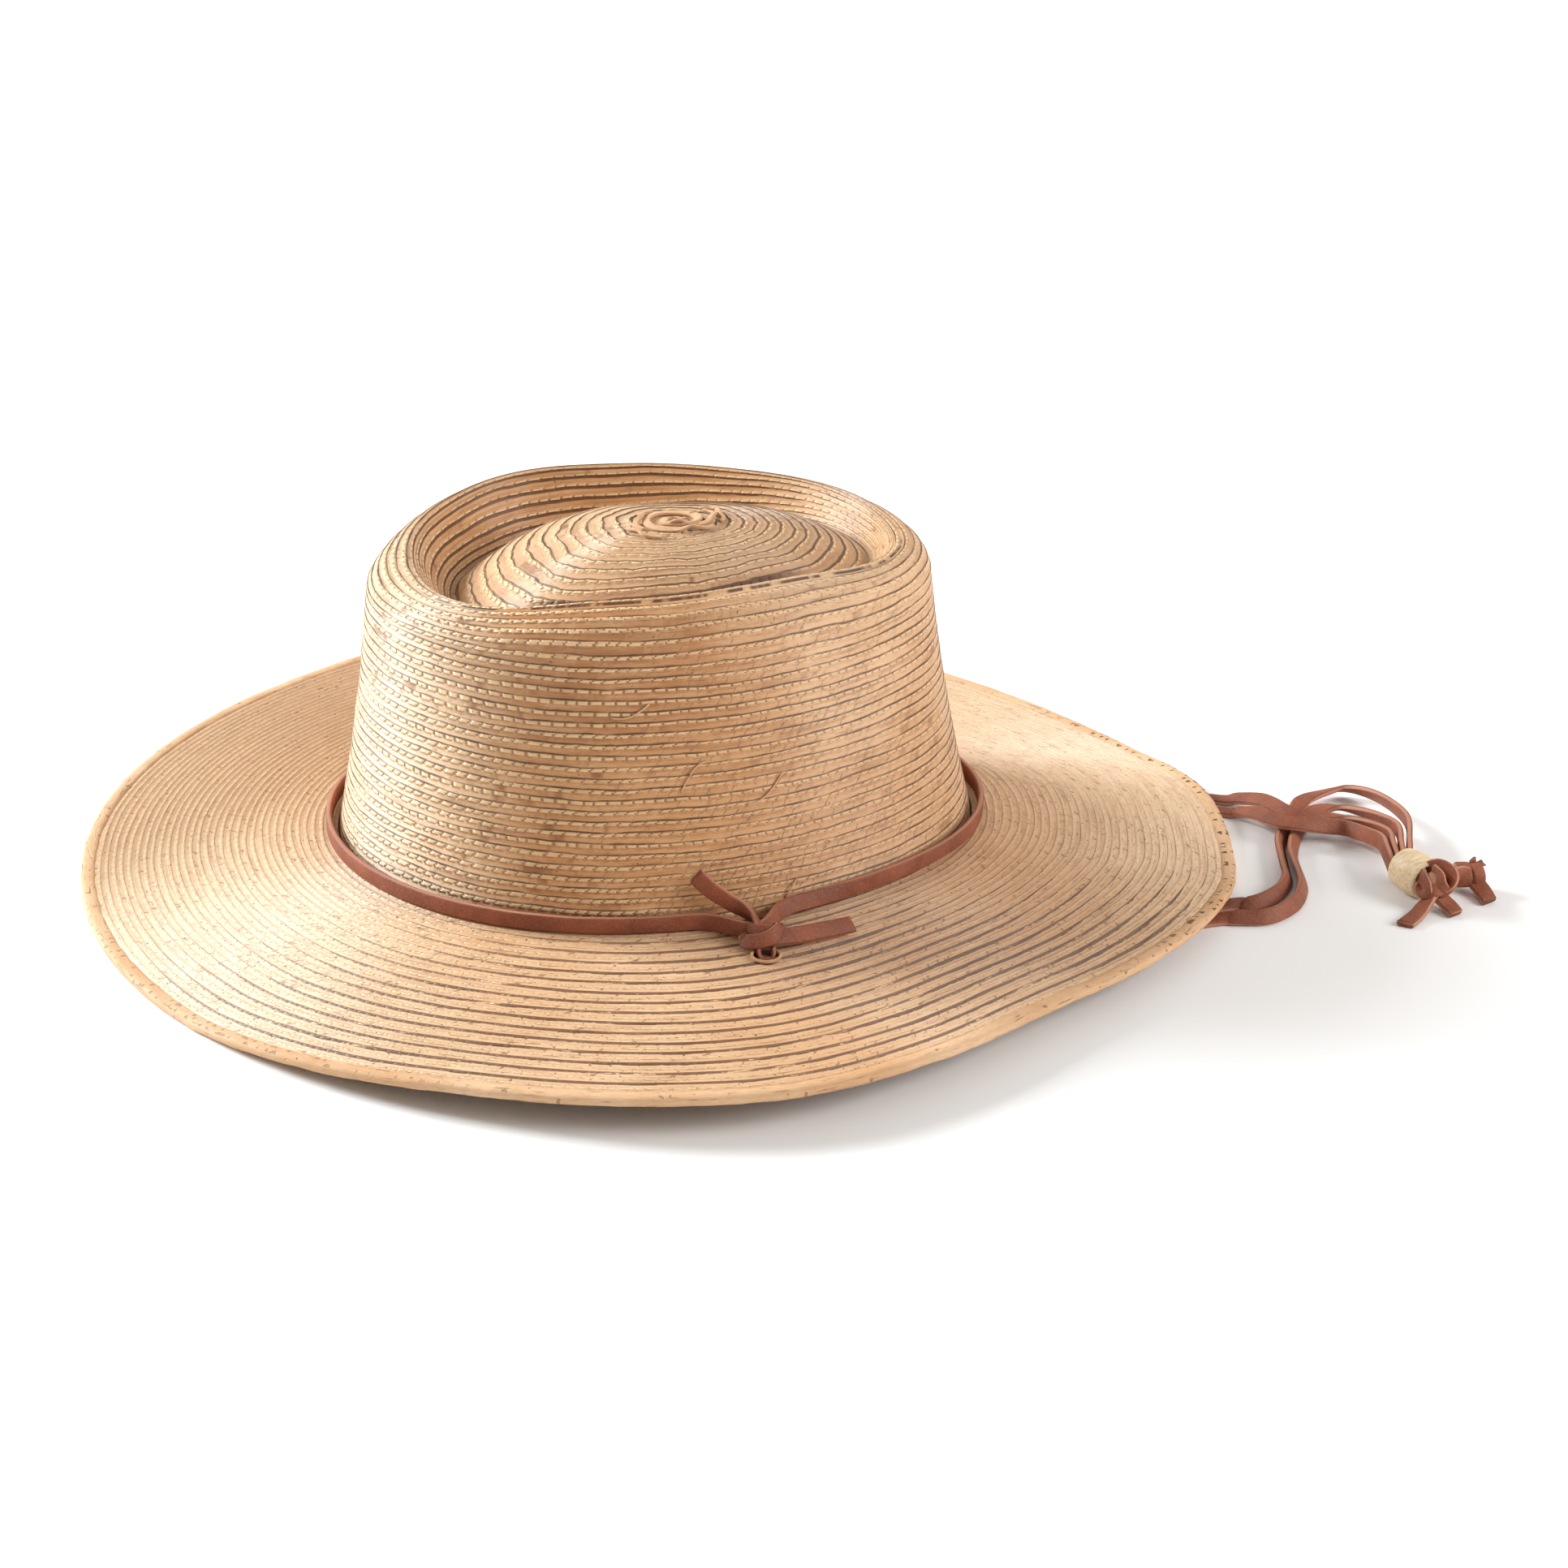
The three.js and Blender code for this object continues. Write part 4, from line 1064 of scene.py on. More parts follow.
def straw_material(settings, name, stitched):
    """Sewn braid: plump stitches along one edge, cells, seams, fibres, flecks and patches of tone, with painted
    highlight and painted shade.

    On the stitched crown the lip of a row is its upper edge, on the flatter brim its inner edge.
    """
    g = Graph(name)
    place = g.add("ShaderNodeUVMap", uv_map="rows")
    split = g.tree.nodes.new("ShaderNodeSeparateXYZ")
    g.put(split.inputs[0], place)
    u, v = split.outputs[0], split.outputs[1]
    row = g.math("FLOOR", v)
    f = g.math("FRACT", v)
    if stitched:
        f = g.math("SUBTRACT", 1.0, f)
    row_random = g.random(row, 3.0)
    ground = g.add("ShaderNodeTexCoord", output=3)
    # Stitches along the lip
    dash_u = g.math("ADD", g.math("DIVIDE", u, settings.stitch_length * 1000), g.math("MULTIPLY", row_random, 9.0))
    drift = g.noise(g.vector(g.math("MULTIPLY", u, 0.08), g.math("MULTIPLY", row, 4.3)), 1.0, 2.0)
    dash_u = g.math("ADD", dash_u, g.math("MULTIPLY", drift, 1.6))
    dash_id = g.math("FLOOR", dash_u)
    dash_f = g.math("FRACT", dash_u)
    dash_edge = g.math("MINIMUM", dash_f, g.math("SUBTRACT", 1.0, dash_f))
    dash = g.band(dash_edge, 0.03, 0.16)
    dash_random = g.random(dash_id, row)
    # Towards the window the stitches stand fuller and their pale lips are painted broader as highlight; away from it
    # they are painted less pale
    puffed_and_lit = g.band(g.toward(ground, PUFFED_AND_LIT_ANGLE), 0.035, 0.075)
    plain_and_unlit = g.band(g.toward(ground, PLAIN_AND_UNLIT_ANGLE), 0.05, 0.08)
    lip_middle = g.math("ADD", 0.15, g.math("MULTIPLY", g.math("ADD", dash_random, puffed_and_lit), 0.06))
    lip_place = g.math("ABSOLUTE", g.math("SUBTRACT", f, lip_middle))
    lip_place = g.math("SUBTRACT", lip_place, g.math("MULTIPLY", puffed_and_lit, 0.09))
    lip = g.band(lip_place, 0.15, 0.07)
    stitch = g.math("MULTIPLY", g.math("MULTIPLY", lip, dash), g.band(dash_random, 0.0, 0.4, 0.5, 1.0))
    stitch = g.math("MULTIPLY", stitch, g.math("SUBTRACT", 1.0, g.math("MULTIPLY", plain_and_unlit, 0.55)))
    puff = g.math("MULTIPLY", g.band(dash_edge, 0.0, 0.3), g.band(g.math("ABSOLUTE", g.math("SUBTRACT", f, 0.3)), 0.34, 0.04))
    puff = g.math("MULTIPLY", puff, g.math("ADD", 0.35, g.math("MULTIPLY", puffed_and_lit, 0.65)))
    # Plaited cells in the body of the row
    cell_u = g.math("ADD", g.math("DIVIDE", u, 4.2), g.math("MULTIPLY", row_random, 17.0))
    wobble = g.noise(g.vector(g.math("MULTIPLY", u, 0.5), g.math("MULTIPLY", row, 9.1)), 1.0, 2.0)
    cell_u = g.math("ADD", cell_u, g.math("MULTIPLY", wobble, 1.2))
    cell_id = g.math("FLOOR", cell_u)
    cell_f = g.math("FRACT", cell_u)
    cell_random = g.random(cell_id, g.math("ADD", row, 50.0))
    slant = g.math("MULTIPLY", g.math("SUBTRACT", f, 0.5), 0.45)
    cell_place = g.math("ABSOLUTE", g.math("SUBTRACT", g.math("ADD", cell_f, slant), 0.5))
    cell_line = g.band(cell_place, 0.07, 0.02) if stitched else g.band(cell_place, 0.12, 0.05)
    body = g.math("MULTIPLY", g.band(f, 0.24, 0.34), g.band(f, 1.0, 0.9))
    cell_share = 0.5 if stitched else 0.82
    cell_line = g.math("MULTIPLY", g.math("MULTIPLY", cell_line, body), g.band(cell_random, cell_share, cell_share + 0.1))
    if stitched:
        cell_line = g.math("MULTIPLY", cell_line, g.math("ADD", 0.3, g.math("MULTIPLY", plain_and_unlit, 0.7)))
    # Seam between rows, faint, with short dark stretches, and painted darker and broader as shade where it faces away
    # from the window and on the brim's near side
    shaded = g.band(g.toward(ground, SHADED_ANGLE), 0.0, 0.11, 0.3, 1.0)
    near = g.band(g.toward(ground, NEAR_ANGLE), 0.045, 0.095)
    even = g.math("SUBTRACT", 1.0, g.math("MODULO", row, 2.0))
    seam_place = g.math("MINIMUM", f, g.math("SUBTRACT", 1.0, f))
    seam_noise = g.noise(g.vector(g.math("MULTIPLY", u, 0.08), g.math("MULTIPLY", row, 3.7)), 1.0, 4.0, 0.65)
    seam_strength = g.band(seam_noise, 0.34, 0.6, 0.15, 1.0)
    if stitched:
        # Painted shade on the inner wall of the rim towards the far side: darker straw, seams and lines
        inside = g.math("MULTIPLY", g.band(v, RIM_ROW - 1.0, RIM_ROW + 1.0), g.band(v, RIM_ROW + 9.0, RIM_ROW + 7.0))
        inside = g.math("MULTIPLY", inside, g.band(g.toward(ground, INSIDE_ANGLE), -0.02, 0.03))
        tip = g.band(v, CROWN_BRAID_ROWS - 6.5, CROWN_BRAID_ROWS - 3.5)
        # Painted shade at the dome's foot behind the rim, on the side away from the window: darker seams and straw
        dome = g.band(v, RIM_ROW + CREASE_ROWS, RIM_ROW + CREASE_ROWS + 2.0)
        dome = g.math("MULTIPLY", dome, g.band(g.toward(ground, DOME_ANGLE), -0.03, 0.02, 0.35, 1.0))
        seam_strength = g.math("MAXIMUM", seam_strength, g.math("MULTIPLY", inside, 0.9))
        seam_strength = g.math("MAXIMUM", seam_strength, g.math("MULTIPLY", dome, 0.9))
        seam_strength = g.math("MAXIMUM", seam_strength, g.math("MULTIPLY", tip, g.band(seam_noise, 0.45, 0.55)))
    else:
        # Painted shade: broader, darker seams on the brim's near side, every other row, and on its side away from the
        # window
        near_shade_strokes = g.band(seam_noise, 0.29, 0.45, 0.0, 0.85)
        seam_strength = g.math("MAXIMUM", seam_strength, g.math("MULTIPLY", near, near_shade_strokes))
        seam_strength = g.math("MULTIPLY", seam_strength, shaded)
        seam_strength = g.math("MULTIPLY", seam_strength, g.math("ADD", 0.55, g.math("MULTIPLY", even, 0.45)))
        seam_place = f
    if stitched:
        broad = g.math("ADD", 0.075, g.math("MULTIPLY", g.math("MAXIMUM", inside, g.math("MULTIPLY", dome, 0.6)), 0.08))
    else:
        broad = g.math("ADD", 0.09, g.math("MULTIPLY", g.math("MULTIPLY", near, even), 0.52))
    seam_edge = g.math("SUBTRACT", seam_place, g.math("MULTIPLY", seam_strength, broad))
    seam = g.math("MULTIPLY", g.band(seam_edge, 0.04, -0.04), g.math("POWER", seam_strength, 0.6))
    # Second finer line along the middle of the braid, in short broken strokes, painted stronger as shade on the crown's
    # inner wall and on the brim's side away from the window
    fine_place = g.math("ABSOLUTE", g.math("SUBTRACT", f, 0.52))
    fine_noise = g.noise(g.vector(g.math("MULTIPLY", u, 0.25), g.math("MULTIPLY", row, 7.9)), 1.0, 3.0)
    fine = g.math("MULTIPLY", g.band(fine_place, 0.06, 0.015), g.band(fine_noise, 0.46, 0.6))
    if stitched:
        fine = g.math("MAXIMUM", fine, g.math("MULTIPLY", inside, g.band(fine_place, 0.08, 0.02, 0.0, 0.8)))
    else:
        fine = g.math("MULTIPLY", fine, shaded)
    # Fibres, flecks, specks and patches
    fibre = g.noise(g.vector(g.math("MULTIPLY", u, 0.4), g.math("MULTIPLY", v, 9.0)), 1.0, 4.0, 0.6)
    streak = g.noise(g.vector(g.math("MULTIPLY", u, 0.045), g.math("MULTIPLY", v, 1.3)), 1.0, 4.0, 0.6)
    fleck_noise = g.noise(g.vector(g.math("MULTIPLY", u, 0.14), g.math("MULTIPLY", row, 5.3)), 1.0, 2.0, 0.5)
    stain = g.band(g.noise(ground, 13.0, 3.0, 0.6), 0.42, 0.66)
    fleck_low = g.math("SUBTRACT", 0.62, g.math("MULTIPLY", stain, 0.12))
    fleck = g.band(g.math("SUBTRACT", fleck_noise, fleck_low), 0.0, 0.16)
    fleck = g.math("MULTIPLY", fleck, g.math("MULTIPLY", g.band(f, 0.25, 0.36), g.band(f, 0.98, 0.86)))
    fleck = g.math("MULTIPLY", fleck, g.math("SUBTRACT", 1.0, g.math("MULTIPLY", plain_and_unlit, 0.6)))
    speck_noise = g.noise(g.vector(g.math("MULTIPLY", u, 0.75), g.math("MULTIPLY", v, 2.0)), 1.0, 1.0)
    speck = g.band(speck_noise, 0.735, 0.79) if stitched else g.band(speck_noise, 0.69, 0.73)
    patch = g.band(g.noise(ground, 12.0, 4.0, 0.6), 0.32, 0.68)
    straw = g.mix(patch, (*settings.straw_pale, 1), (*settings.straw_tan, 1))
    # Brown stretches of the crown's wall, partly brown straw and partly painted shade just past the side lit by the
    # window
    toasted_and_shade = g.math("MULTIPLY", g.band(g.toward(ground, TOASTED_AND_SHADE_ANGLE), 0.025, 0.07), 0.85)
    if not stitched:
        browned = g.band(g.toward(ground, BROWNED_ANGLE), 0.03, 0.1)
        straw = g.mix(browned, straw, (*settings.straw_browned_and_shade, 1))
        # Painted highlight where the brim's gloss catches the window light, on two opposite sides
        painted_highlight = g.band(g.toward(ground, HIGHLIGHT_ANGLE), 0.07, 0.15, 0.0, 0.6)
        painted_highlight = g.math("ADD", painted_highlight, g.band(g.toward(ground, HIGHLIGHT_ANGLE), -0.07, -0.15, 0.0, 0.45))
        painted_highlight = g.math("MULTIPLY", painted_highlight, g.math("SUBTRACT", 1.0, g.math("MULTIPLY", browned, 0.75)))
        straw = g.mix(painted_highlight, straw, (*settings.straw_painted_highlight, 1))
    else:
        # Painted shade on the rim's inner wall, in the same brown
        toasted_and_shade = g.math("MAXIMUM", toasted_and_shade, g.math("MULTIPLY", inside, 0.9))
        toasted_and_shade = g.math("MULTIPLY", toasted_and_shade, g.band(streak, 0.25, 0.6, 0.45, 1.0))
        straw = g.mix(toasted_and_shade, straw, (*settings.straw_toasted_and_shade, 1))
        # Painted shade at the dome's foot behind the rim
        straw = g.mix(g.math("MULTIPLY", dome, 0.5), straw, (*settings.straw_browned_and_shade, 1))
        # Brownest stretch below the ridge, partly brown straw and partly painted shade on the side turned from the
        # window
        scorched_and_shade = g.math("MULTIPLY", g.band(v, 13.0, 22.0), g.band(g.toward(ground, SCORCHED_AND_SHADE_ANGLE), 0.05, 0.072))
        scorched_and_shade = g.math("MULTIPLY", scorched_and_shade, g.band(streak, 0.3, 0.55, 0.3, 0.8))
        straw = g.mix(scorched_and_shade, straw, (*settings.straw_scorched_and_shade, 1))
        # Painted highlight on the side of the crown lit by the window
        painted_highlight = g.math("MULTIPLY", g.band(g.toward(ground, HIGHLIGHT_ANGLE), 0.055, 0.088), 0.75)
        straw = g.mix(painted_highlight, straw, (*settings.straw_painted_highlight, 1))
    tint = g.math("MULTIPLY", g.band(cell_random, 0.2, 1.0), 0.3)
    straw = g.mix(tint, straw, (*settings.straw_tan, 1))
    streaked = g.math("MULTIPLY", g.band(streak, 0.45, 0.75), 0.6 if stitched else 0.4)
    straw = g.mix(streaked, straw, (*settings.straw_brown, 1))
    straw = g.mix(g.math("MULTIPLY", fleck, 0.95 if stitched else 0.35), straw, (*settings.straw_brown, 1))
    straw = g.mix(g.math("MULTIPLY", g.band(fibre, 0.4, 0.8), 0.3), straw, (*settings.straw_brown, 1))
    # Pale stitches: their own colour, painted broader and paler as highlight towards the window light
    straw = g.mix(g.math("MULTIPLY", stitch, 0.8 if stitched else 0.35), straw, (*settings.stitch_colour, 1))
    dark = g.math("MAXIMUM", g.math("MULTIPLY", seam, 0.95), g.math("MULTIPLY", cell_line, 0.55))
    dark = g.math("MAXIMUM", dark, g.math("MULTIPLY", speck, 0.8))
    dark = g.math("MAXIMUM", dark, g.math("MULTIPLY", fine, 0.25 if stitched else 0.6))
    # Painted shade between the stitches along the lip
    gap = g.math("MULTIPLY", lip, g.math("SUBTRACT", 1.0, dash))
    dark = g.math("MAXIMUM", dark, g.math("MULTIPLY", gap, 0.4 if stitched else 0.15))
    if stitched:
        # Painted shade in the hidden crease between the near rim and the dome, and in a groove along the rim
        lip_groove_shade = g.math("ABSOLUTE", g.math("SUBTRACT", v, RIM_ROW - 0.6))
        rim_noise = g.noise(g.vector(g.math("MULTIPLY", u, 0.1), 5.0), 1.0, 3.0)
        rim_level = g.math("ADD", g.math("MULTIPLY", g.toward(ground, RIM_GAP_CLIMB_ANGLE), RIM_GAP_CLIMB), RIM_GAP_ROW)
        rim_over = g.math("ADD", g.math("SUBTRACT", v, rim_level), g.math("MULTIPLY", rim_noise, 0.7))
        rim_side = g.math("ABSOLUTE", g.toward(ground, RIM_GAP_SIDE_ANGLE))
        rim_gap_shade = g.math("MULTIPLY", g.band(rim_over, 0.85, 0.6), g.band(rim_side, 0.046, 0.03))
        rim_gap_shade = g.math("MULTIPLY", rim_gap_shade, g.band(v, RIM_GAP_ROW - 3.5, RIM_GAP_ROW - 2.0))
        lip_groove_shade = g.math("MULTIPLY", g.band(lip_groove_shade, 0.2, 0.08), g.band(rim_noise, 0.44, 0.52))
        rim_gap_shade = g.math("MAXIMUM", rim_gap_shade, lip_groove_shade)
        rim_gap_shade = g.math("MULTIPLY", rim_gap_shade, g.band(g.toward(ground, RIM_GAP_ANGLE), 0.008, 0.028))
        dark = g.math("MAXIMUM", dark, rim_gap_shade)
    # One dark colour for the seams, cell lines and specks, and for the painted shade
    straw = g.mix(dark, straw, (*settings.seam_and_shade_colour, 1))
    height = g.math("MULTIPLY", stitch, 0.2 if stitched else 0.08)
    height = g.math("ADD", height, g.math("MULTIPLY", puff, 0.42 if stitched else 0.12))
    height = g.math("ADD", height, g.math("MULTIPLY", fibre, 0.1))
    height = g.math("SUBTRACT", height, g.math("MULTIPLY", dark, 0.2))
    height = g.math("ADD", height, g.math("MULTIPLY", cell_random, 0.04))
    g.shader.inputs["Specular IOR Level"].default_value = 0.7 if stitched else 0.9
    g.shader.inputs["Anisotropic"].default_value = 0.85
    g.shader.inputs["Anisotropic Rotation"].default_value = 0.25
    g.put(g.shader.inputs["Tangent"], g.add("ShaderNodeTangent", direction_type="UV_MAP", uv_map="rows"))
    rough = g.band(fibre, 0.3, 0.7, 0.52, 0.66)
    return g.finish(straw, rough, height, MM)


def hem_material(settings):
    """Flat straw folded over the brim's edge, with short dark stitch holes in two uneven lines."""
    g = Graph("hem_straw")
    place = g.add("ShaderNodeUVMap", uv_map="lace")
    split = g.tree.nodes.new("ShaderNodeSeparateXYZ")
    g.put(split.inputs[0], place)
    u, v = split.outputs[0], split.outputs[1]
    fibre = g.noise(g.vector(g.math("MULTIPLY", u, 0.3), g.math("MULTIPLY", v, 40.0)), 1.0, 4.0, 0.6)
    line_noise = g.noise(g.vector(g.math("MULTIPLY", u, 0.1), g.math("MULTIPLY", v, 14.0)), 1.0, 3.0)
    line = g.band(line_noise, 0.62, 0.7)
    holes = None
    for middle, seed in ((0.13, 3.0), (0.27, 11.0)):
        hole_u = g.math("ADD", g.math("DIVIDE", u, 4.1), seed)
        wobble = g.noise(g.vector(g.math("MULTIPLY", u, 0.13), seed), 1.0, 2.0)
        hole_u = g.math("ADD", hole_u, g.math("MULTIPLY", wobble, 3.0))
        hole_random = g.random(g.math("FLOOR", hole_u), seed)
        across = g.math("ABSOLUTE", g.math("SUBTRACT", g.math("FRACT", hole_u), 0.5))
        slanting = g.math("ADD", across, g.math("MULTIPLY", g.math("SUBTRACT", v, middle), 1.5))
        along_v = g.math("ABSOLUTE", g.math("SUBTRACT", v, middle))
        hole = g.math("MULTIPLY", g.band(g.math("ABSOLUTE", slanting), 0.14, 0.06), g.band(along_v, 0.055, 0.035))
        hole = g.math("MULTIPLY", hole, g.band(hole_random, 0.35, 0.45))
        holes = hole if holes is None else g.math("MAXIMUM", holes, hole)
    ground = g.add("ShaderNodeTexCoord", output=3)
    marked = g.math("ADD", g.band(g.toward(ground, 350), 0.12, 0.16), g.band(g.toward(ground, 212), 0.14, 0.175, 0.0, 0.45))
    holes = g.math("MULTIPLY", holes, marked)
    patch = g.band(g.noise(ground, 22.0, 4.0, 0.6), 0.32, 0.68)
    speck = g.band(g.noise(ground, 420.0, 1.0), 0.7, 0.76)
    straw = g.mix(patch, (*settings.straw_pale, 1), (*settings.straw_tan, 1))
    straw = g.mix(g.math("MULTIPLY", g.band(fibre, 0.4, 0.75), 0.3), straw, (*settings.straw_brown, 1))
    dark = g.math("MAXIMUM", g.math("MULTIPLY", holes, 0.95), g.math("MULTIPLY", line, 0.45))
    dark = g.math("MAXIMUM", dark, g.math("MULTIPLY", speck, 0.5))
    straw = g.mix(dark, straw, (*settings.seam_and_shade_colour, 1))
    height = g.math("SUBTRACT", g.math("MULTIPLY", fibre, 0.2), g.math("MULTIPLY", dark, 0.4))
    g.shader.inputs["Specular IOR Level"].default_value = 0.4
    return g.finish(straw, 0.56, height, MM)


def leather_material(settings):
    """Cut leather lace: mottled brown faces, paler cut edges and a fine grain."""
    g = Graph("lace_leather")
    ground = g.add("ShaderNodeTexCoord", output=3)
    place = g.add("ShaderNodeUVMap", uv_map="lace")
    split = g.tree.nodes.new("ShaderNodeSeparateXYZ")
    g.put(split.inputs[0], place)
    u, v = split.outputs[0], split.outputs[1]
    mottle = g.noise(ground, 90.0, 4.0, 0.6)
    grain = g.add("ShaderNodeTexVoronoi", {"Vector": ground, "Scale": 2600.0}, feature="F1")
    nap = g.noise(ground, 1500.0, 3.0, 0.7)
    leather = g.mix(g.band(mottle, 0.3, 0.7), (*settings.leather_dark, 1), (*settings.leather_brown, 1))
    edge_place = g.math("ABSOLUTE", g.math("SUBTRACT", g.math("FRACT", g.math("ADD", g.math("MULTIPLY", v, 2.0), 0.5)), 0.5))
    edge = g.band(edge_place, 0.16, 0.08)
    leather = g.mix(g.math("MULTIPLY", edge, 0.7), leather, (*settings.leather_edge, 1))
    leather = g.mix(g.math("MULTIPLY", g.band(nap, 0.45, 0.75), 0.25), leather, (*settings.leather_edge, 1))
    height = g.math("ADD", g.math("MULTIPLY", grain, 0.08), g.math("MULTIPLY", nap, 0.12))
    g.shader.inputs["Specular IOR Level"].default_value = 0.35
    rough = g.band(mottle, 0.3, 0.7, 0.5, 0.66)
    return g.finish(leather, rough, height, MM)


def wood_material(settings):
    """Pale turned wood with fine grain along the bore."""
    g = Graph("bead_wood")
    ground = g.add("ShaderNodeTexCoord", output=3)
    turned = g.add("ShaderNodeMapping", {"Vector": ground, "Rotation": (0, 0, math.radians(76)), "Scale": (60, 900, 900)})
    grain = g.noise(turned, 1.0, 4.0, 0.55)
    wood = g.mix(g.band(grain, 0.35, 0.7), (*settings.wood_pale, 1), (*settings.wood_grain, 1))
    g.shader.inputs["Specular IOR Level"].default_value = 0.4
    return g.finish(wood, 0.42, g.math("MULTIPLY", grain, 0.05), MM)


class HatSettings(bpy.types.PropertyGroup):
    """Sizes and colours that a user of the hat would change."""

    relief: bpy.props.FloatProperty(
        name="Row relief", description="How strongly the braid rows stand out", default=1.0, min=0, max=2, subtype="FACTOR"
    )
    stitch_length: bpy.props.FloatProperty(
        name="Stitch length", description="Length of one sewn stitch along a row", default=0.0036, unit="LENGTH"
    )
    straw_pale: bpy.props.FloatVectorProperty(
        name="Pale straw", description="Lightest straw", default=(0.80, 0.535, 0.32), size=3, subtype="COLOR"
    )
    straw_tan: bpy.props.FloatVectorProperty(
        name="Tan straw", description="Usual straw", default=(0.66, 0.38, 0.19), size=3, subtype="COLOR"
    )
    # Brown straw, partly painted shade
    straw_toasted_and_shade: bpy.props.FloatVectorProperty(
        name="Toasted straw and painted shade", description="Sun-browned stretches, partly painted shade", default=(0.60, 0.29, 0.105), size=3, subtype="COLOR"
    )
    # Brownest straw, partly painted shade
    straw_scorched_and_shade: bpy.props.FloatVectorProperty(
        name="Scorched straw and painted shade", description="Brownest stretch below the rim, partly painted shade", default=(0.42, 0.18, 0.065), size=3, subtype="COLOR"
    )
    # Colour of the painted highlight
    straw_painted_highlight: bpy.props.FloatVectorProperty(
        name="Painted highlight on straw", description="Painted highlight on the crown's lit side and along the brim's gloss", default=(0.93, 0.74, 0.51), size=3, subtype="COLOR"
    )
    # Back of the brim, and painted shade at the dome's foot
    straw_browned_and_shade: bpy.props.FloatVectorProperty(
        name="Browned straw and painted shade", description="Back of the brim, and painted shade at the dome's foot", default=(0.45, 0.26, 0.135), size=3, subtype="COLOR"
    )
    straw_brown: bpy.props.FloatVectorProperty(
        name="Brown straw", description="Flecks and streaks", default=(0.33, 0.145, 0.06), size=3, subtype="COLOR"
    )
    stitch_colour: bpy.props.FloatVectorProperty(
        name="Stitches", description="Pale stitched lip of each row", default=(0.90, 0.61, 0.33), size=3, subtype="COLOR"
    )
    # Seams and cells, and painted shade in grooves, the crease and on shaded sides
    seam_and_shade_colour: bpy.props.FloatVectorProperty(
        name="Seams and painted shade", description="Gaps between rows and cells, and painted shade in grooves and on shaded sides", default=(0.12, 0.05, 0.022), size=3, subtype="COLOR"
    )
    leather_brown: bpy.props.FloatVectorProperty(
        name="Leather", description="Face of the laces", default=(0.315, 0.094, 0.045), size=3, subtype="COLOR"
    )
    leather_dark: bpy.props.FloatVectorProperty(
        name="Dark leather", description="Darker mottling", default=(0.20, 0.058, 0.03), size=3, subtype="COLOR"
    )
    leather_edge: bpy.props.FloatVectorProperty(
        name="Cut edge", description="Cut edges and raised nap", default=(0.55, 0.27, 0.17), size=3, subtype="COLOR"
    )
    wood_pale: bpy.props.FloatVectorProperty(
        name="Pale wood", description="Bead", default=(0.80, 0.64, 0.42), size=3, subtype="COLOR"
    )
    wood_grain: bpy.props.FloatVectorProperty(
        name="Wood grain", description="Grain of the bead", default=(0.66, 0.47, 0.27), size=3, subtype="COLOR"
    )
    light_power: bpy.props.FloatProperty(
        name="Light", description="Power of the main light", default=94, min=0, unit="POWER"
    )


def view_axes():
    """Right, up and near directions of the photographed view."""
    azimuth = math.radians(VIEW_AZIMUTH)
    elevation = math.radians(VIEW_ELEVATION)
    near = Vector((
        math.sin(azimuth) * math.cos(elevation),
        -math.cos(azimuth) * math.cos(elevation),
        math.sin(elevation),
    ))
    right = Vector((0, 0, 1)).cross(near).normalized()
    up = near.cross(right)
    roll = math.radians(VIEW_ROLL)
    return right * math.cos(roll) + up * math.sin(roll), up * math.cos(roll) - right * math.sin(roll), near


def make_camera():
    data = bpy.data.cameras.new("camera")
    camera = bpy.data.objects.new("camera", data)
    bpy.context.collection.objects.link(camera)
    right, up, near = view_axes()
    turn = Matrix((right, up, near)).transposed().to_4x4()
    camera.matrix_world = Matrix.Translation(Vector(AIM) + near * VIEW_DISTANCE) @ turn
    data.sensor_width = SENSOR
    data.lens = SENSOR * FOCAL_PIXELS / IMAGE_WIDTH
    data.shift_x = (IMAGE_WIDTH / 2 - AIM_PIXEL[0]) / IMAGE_WIDTH
    data.shift_y = (AIM_PIXEL[1] - IMAGE_WIDTH / 2) / IMAGE_WIDTH
    bpy.context.scene.camera = camera


def add_area(name, place, target, size, power, colour=(1, 1, 1)):
    data = bpy.data.lights.new(name, "AREA")
    data.size = size
    data.energy = power
    data.color = colour
    lamp = bpy.data.objects.new(name, data)
    bpy.context.collection.objects.link(lamp)
    lamp.location = place
    lamp.rotation_euler = (Vector(target) - Vector(place)).to_track_quat("-Z", "Y").to_euler()


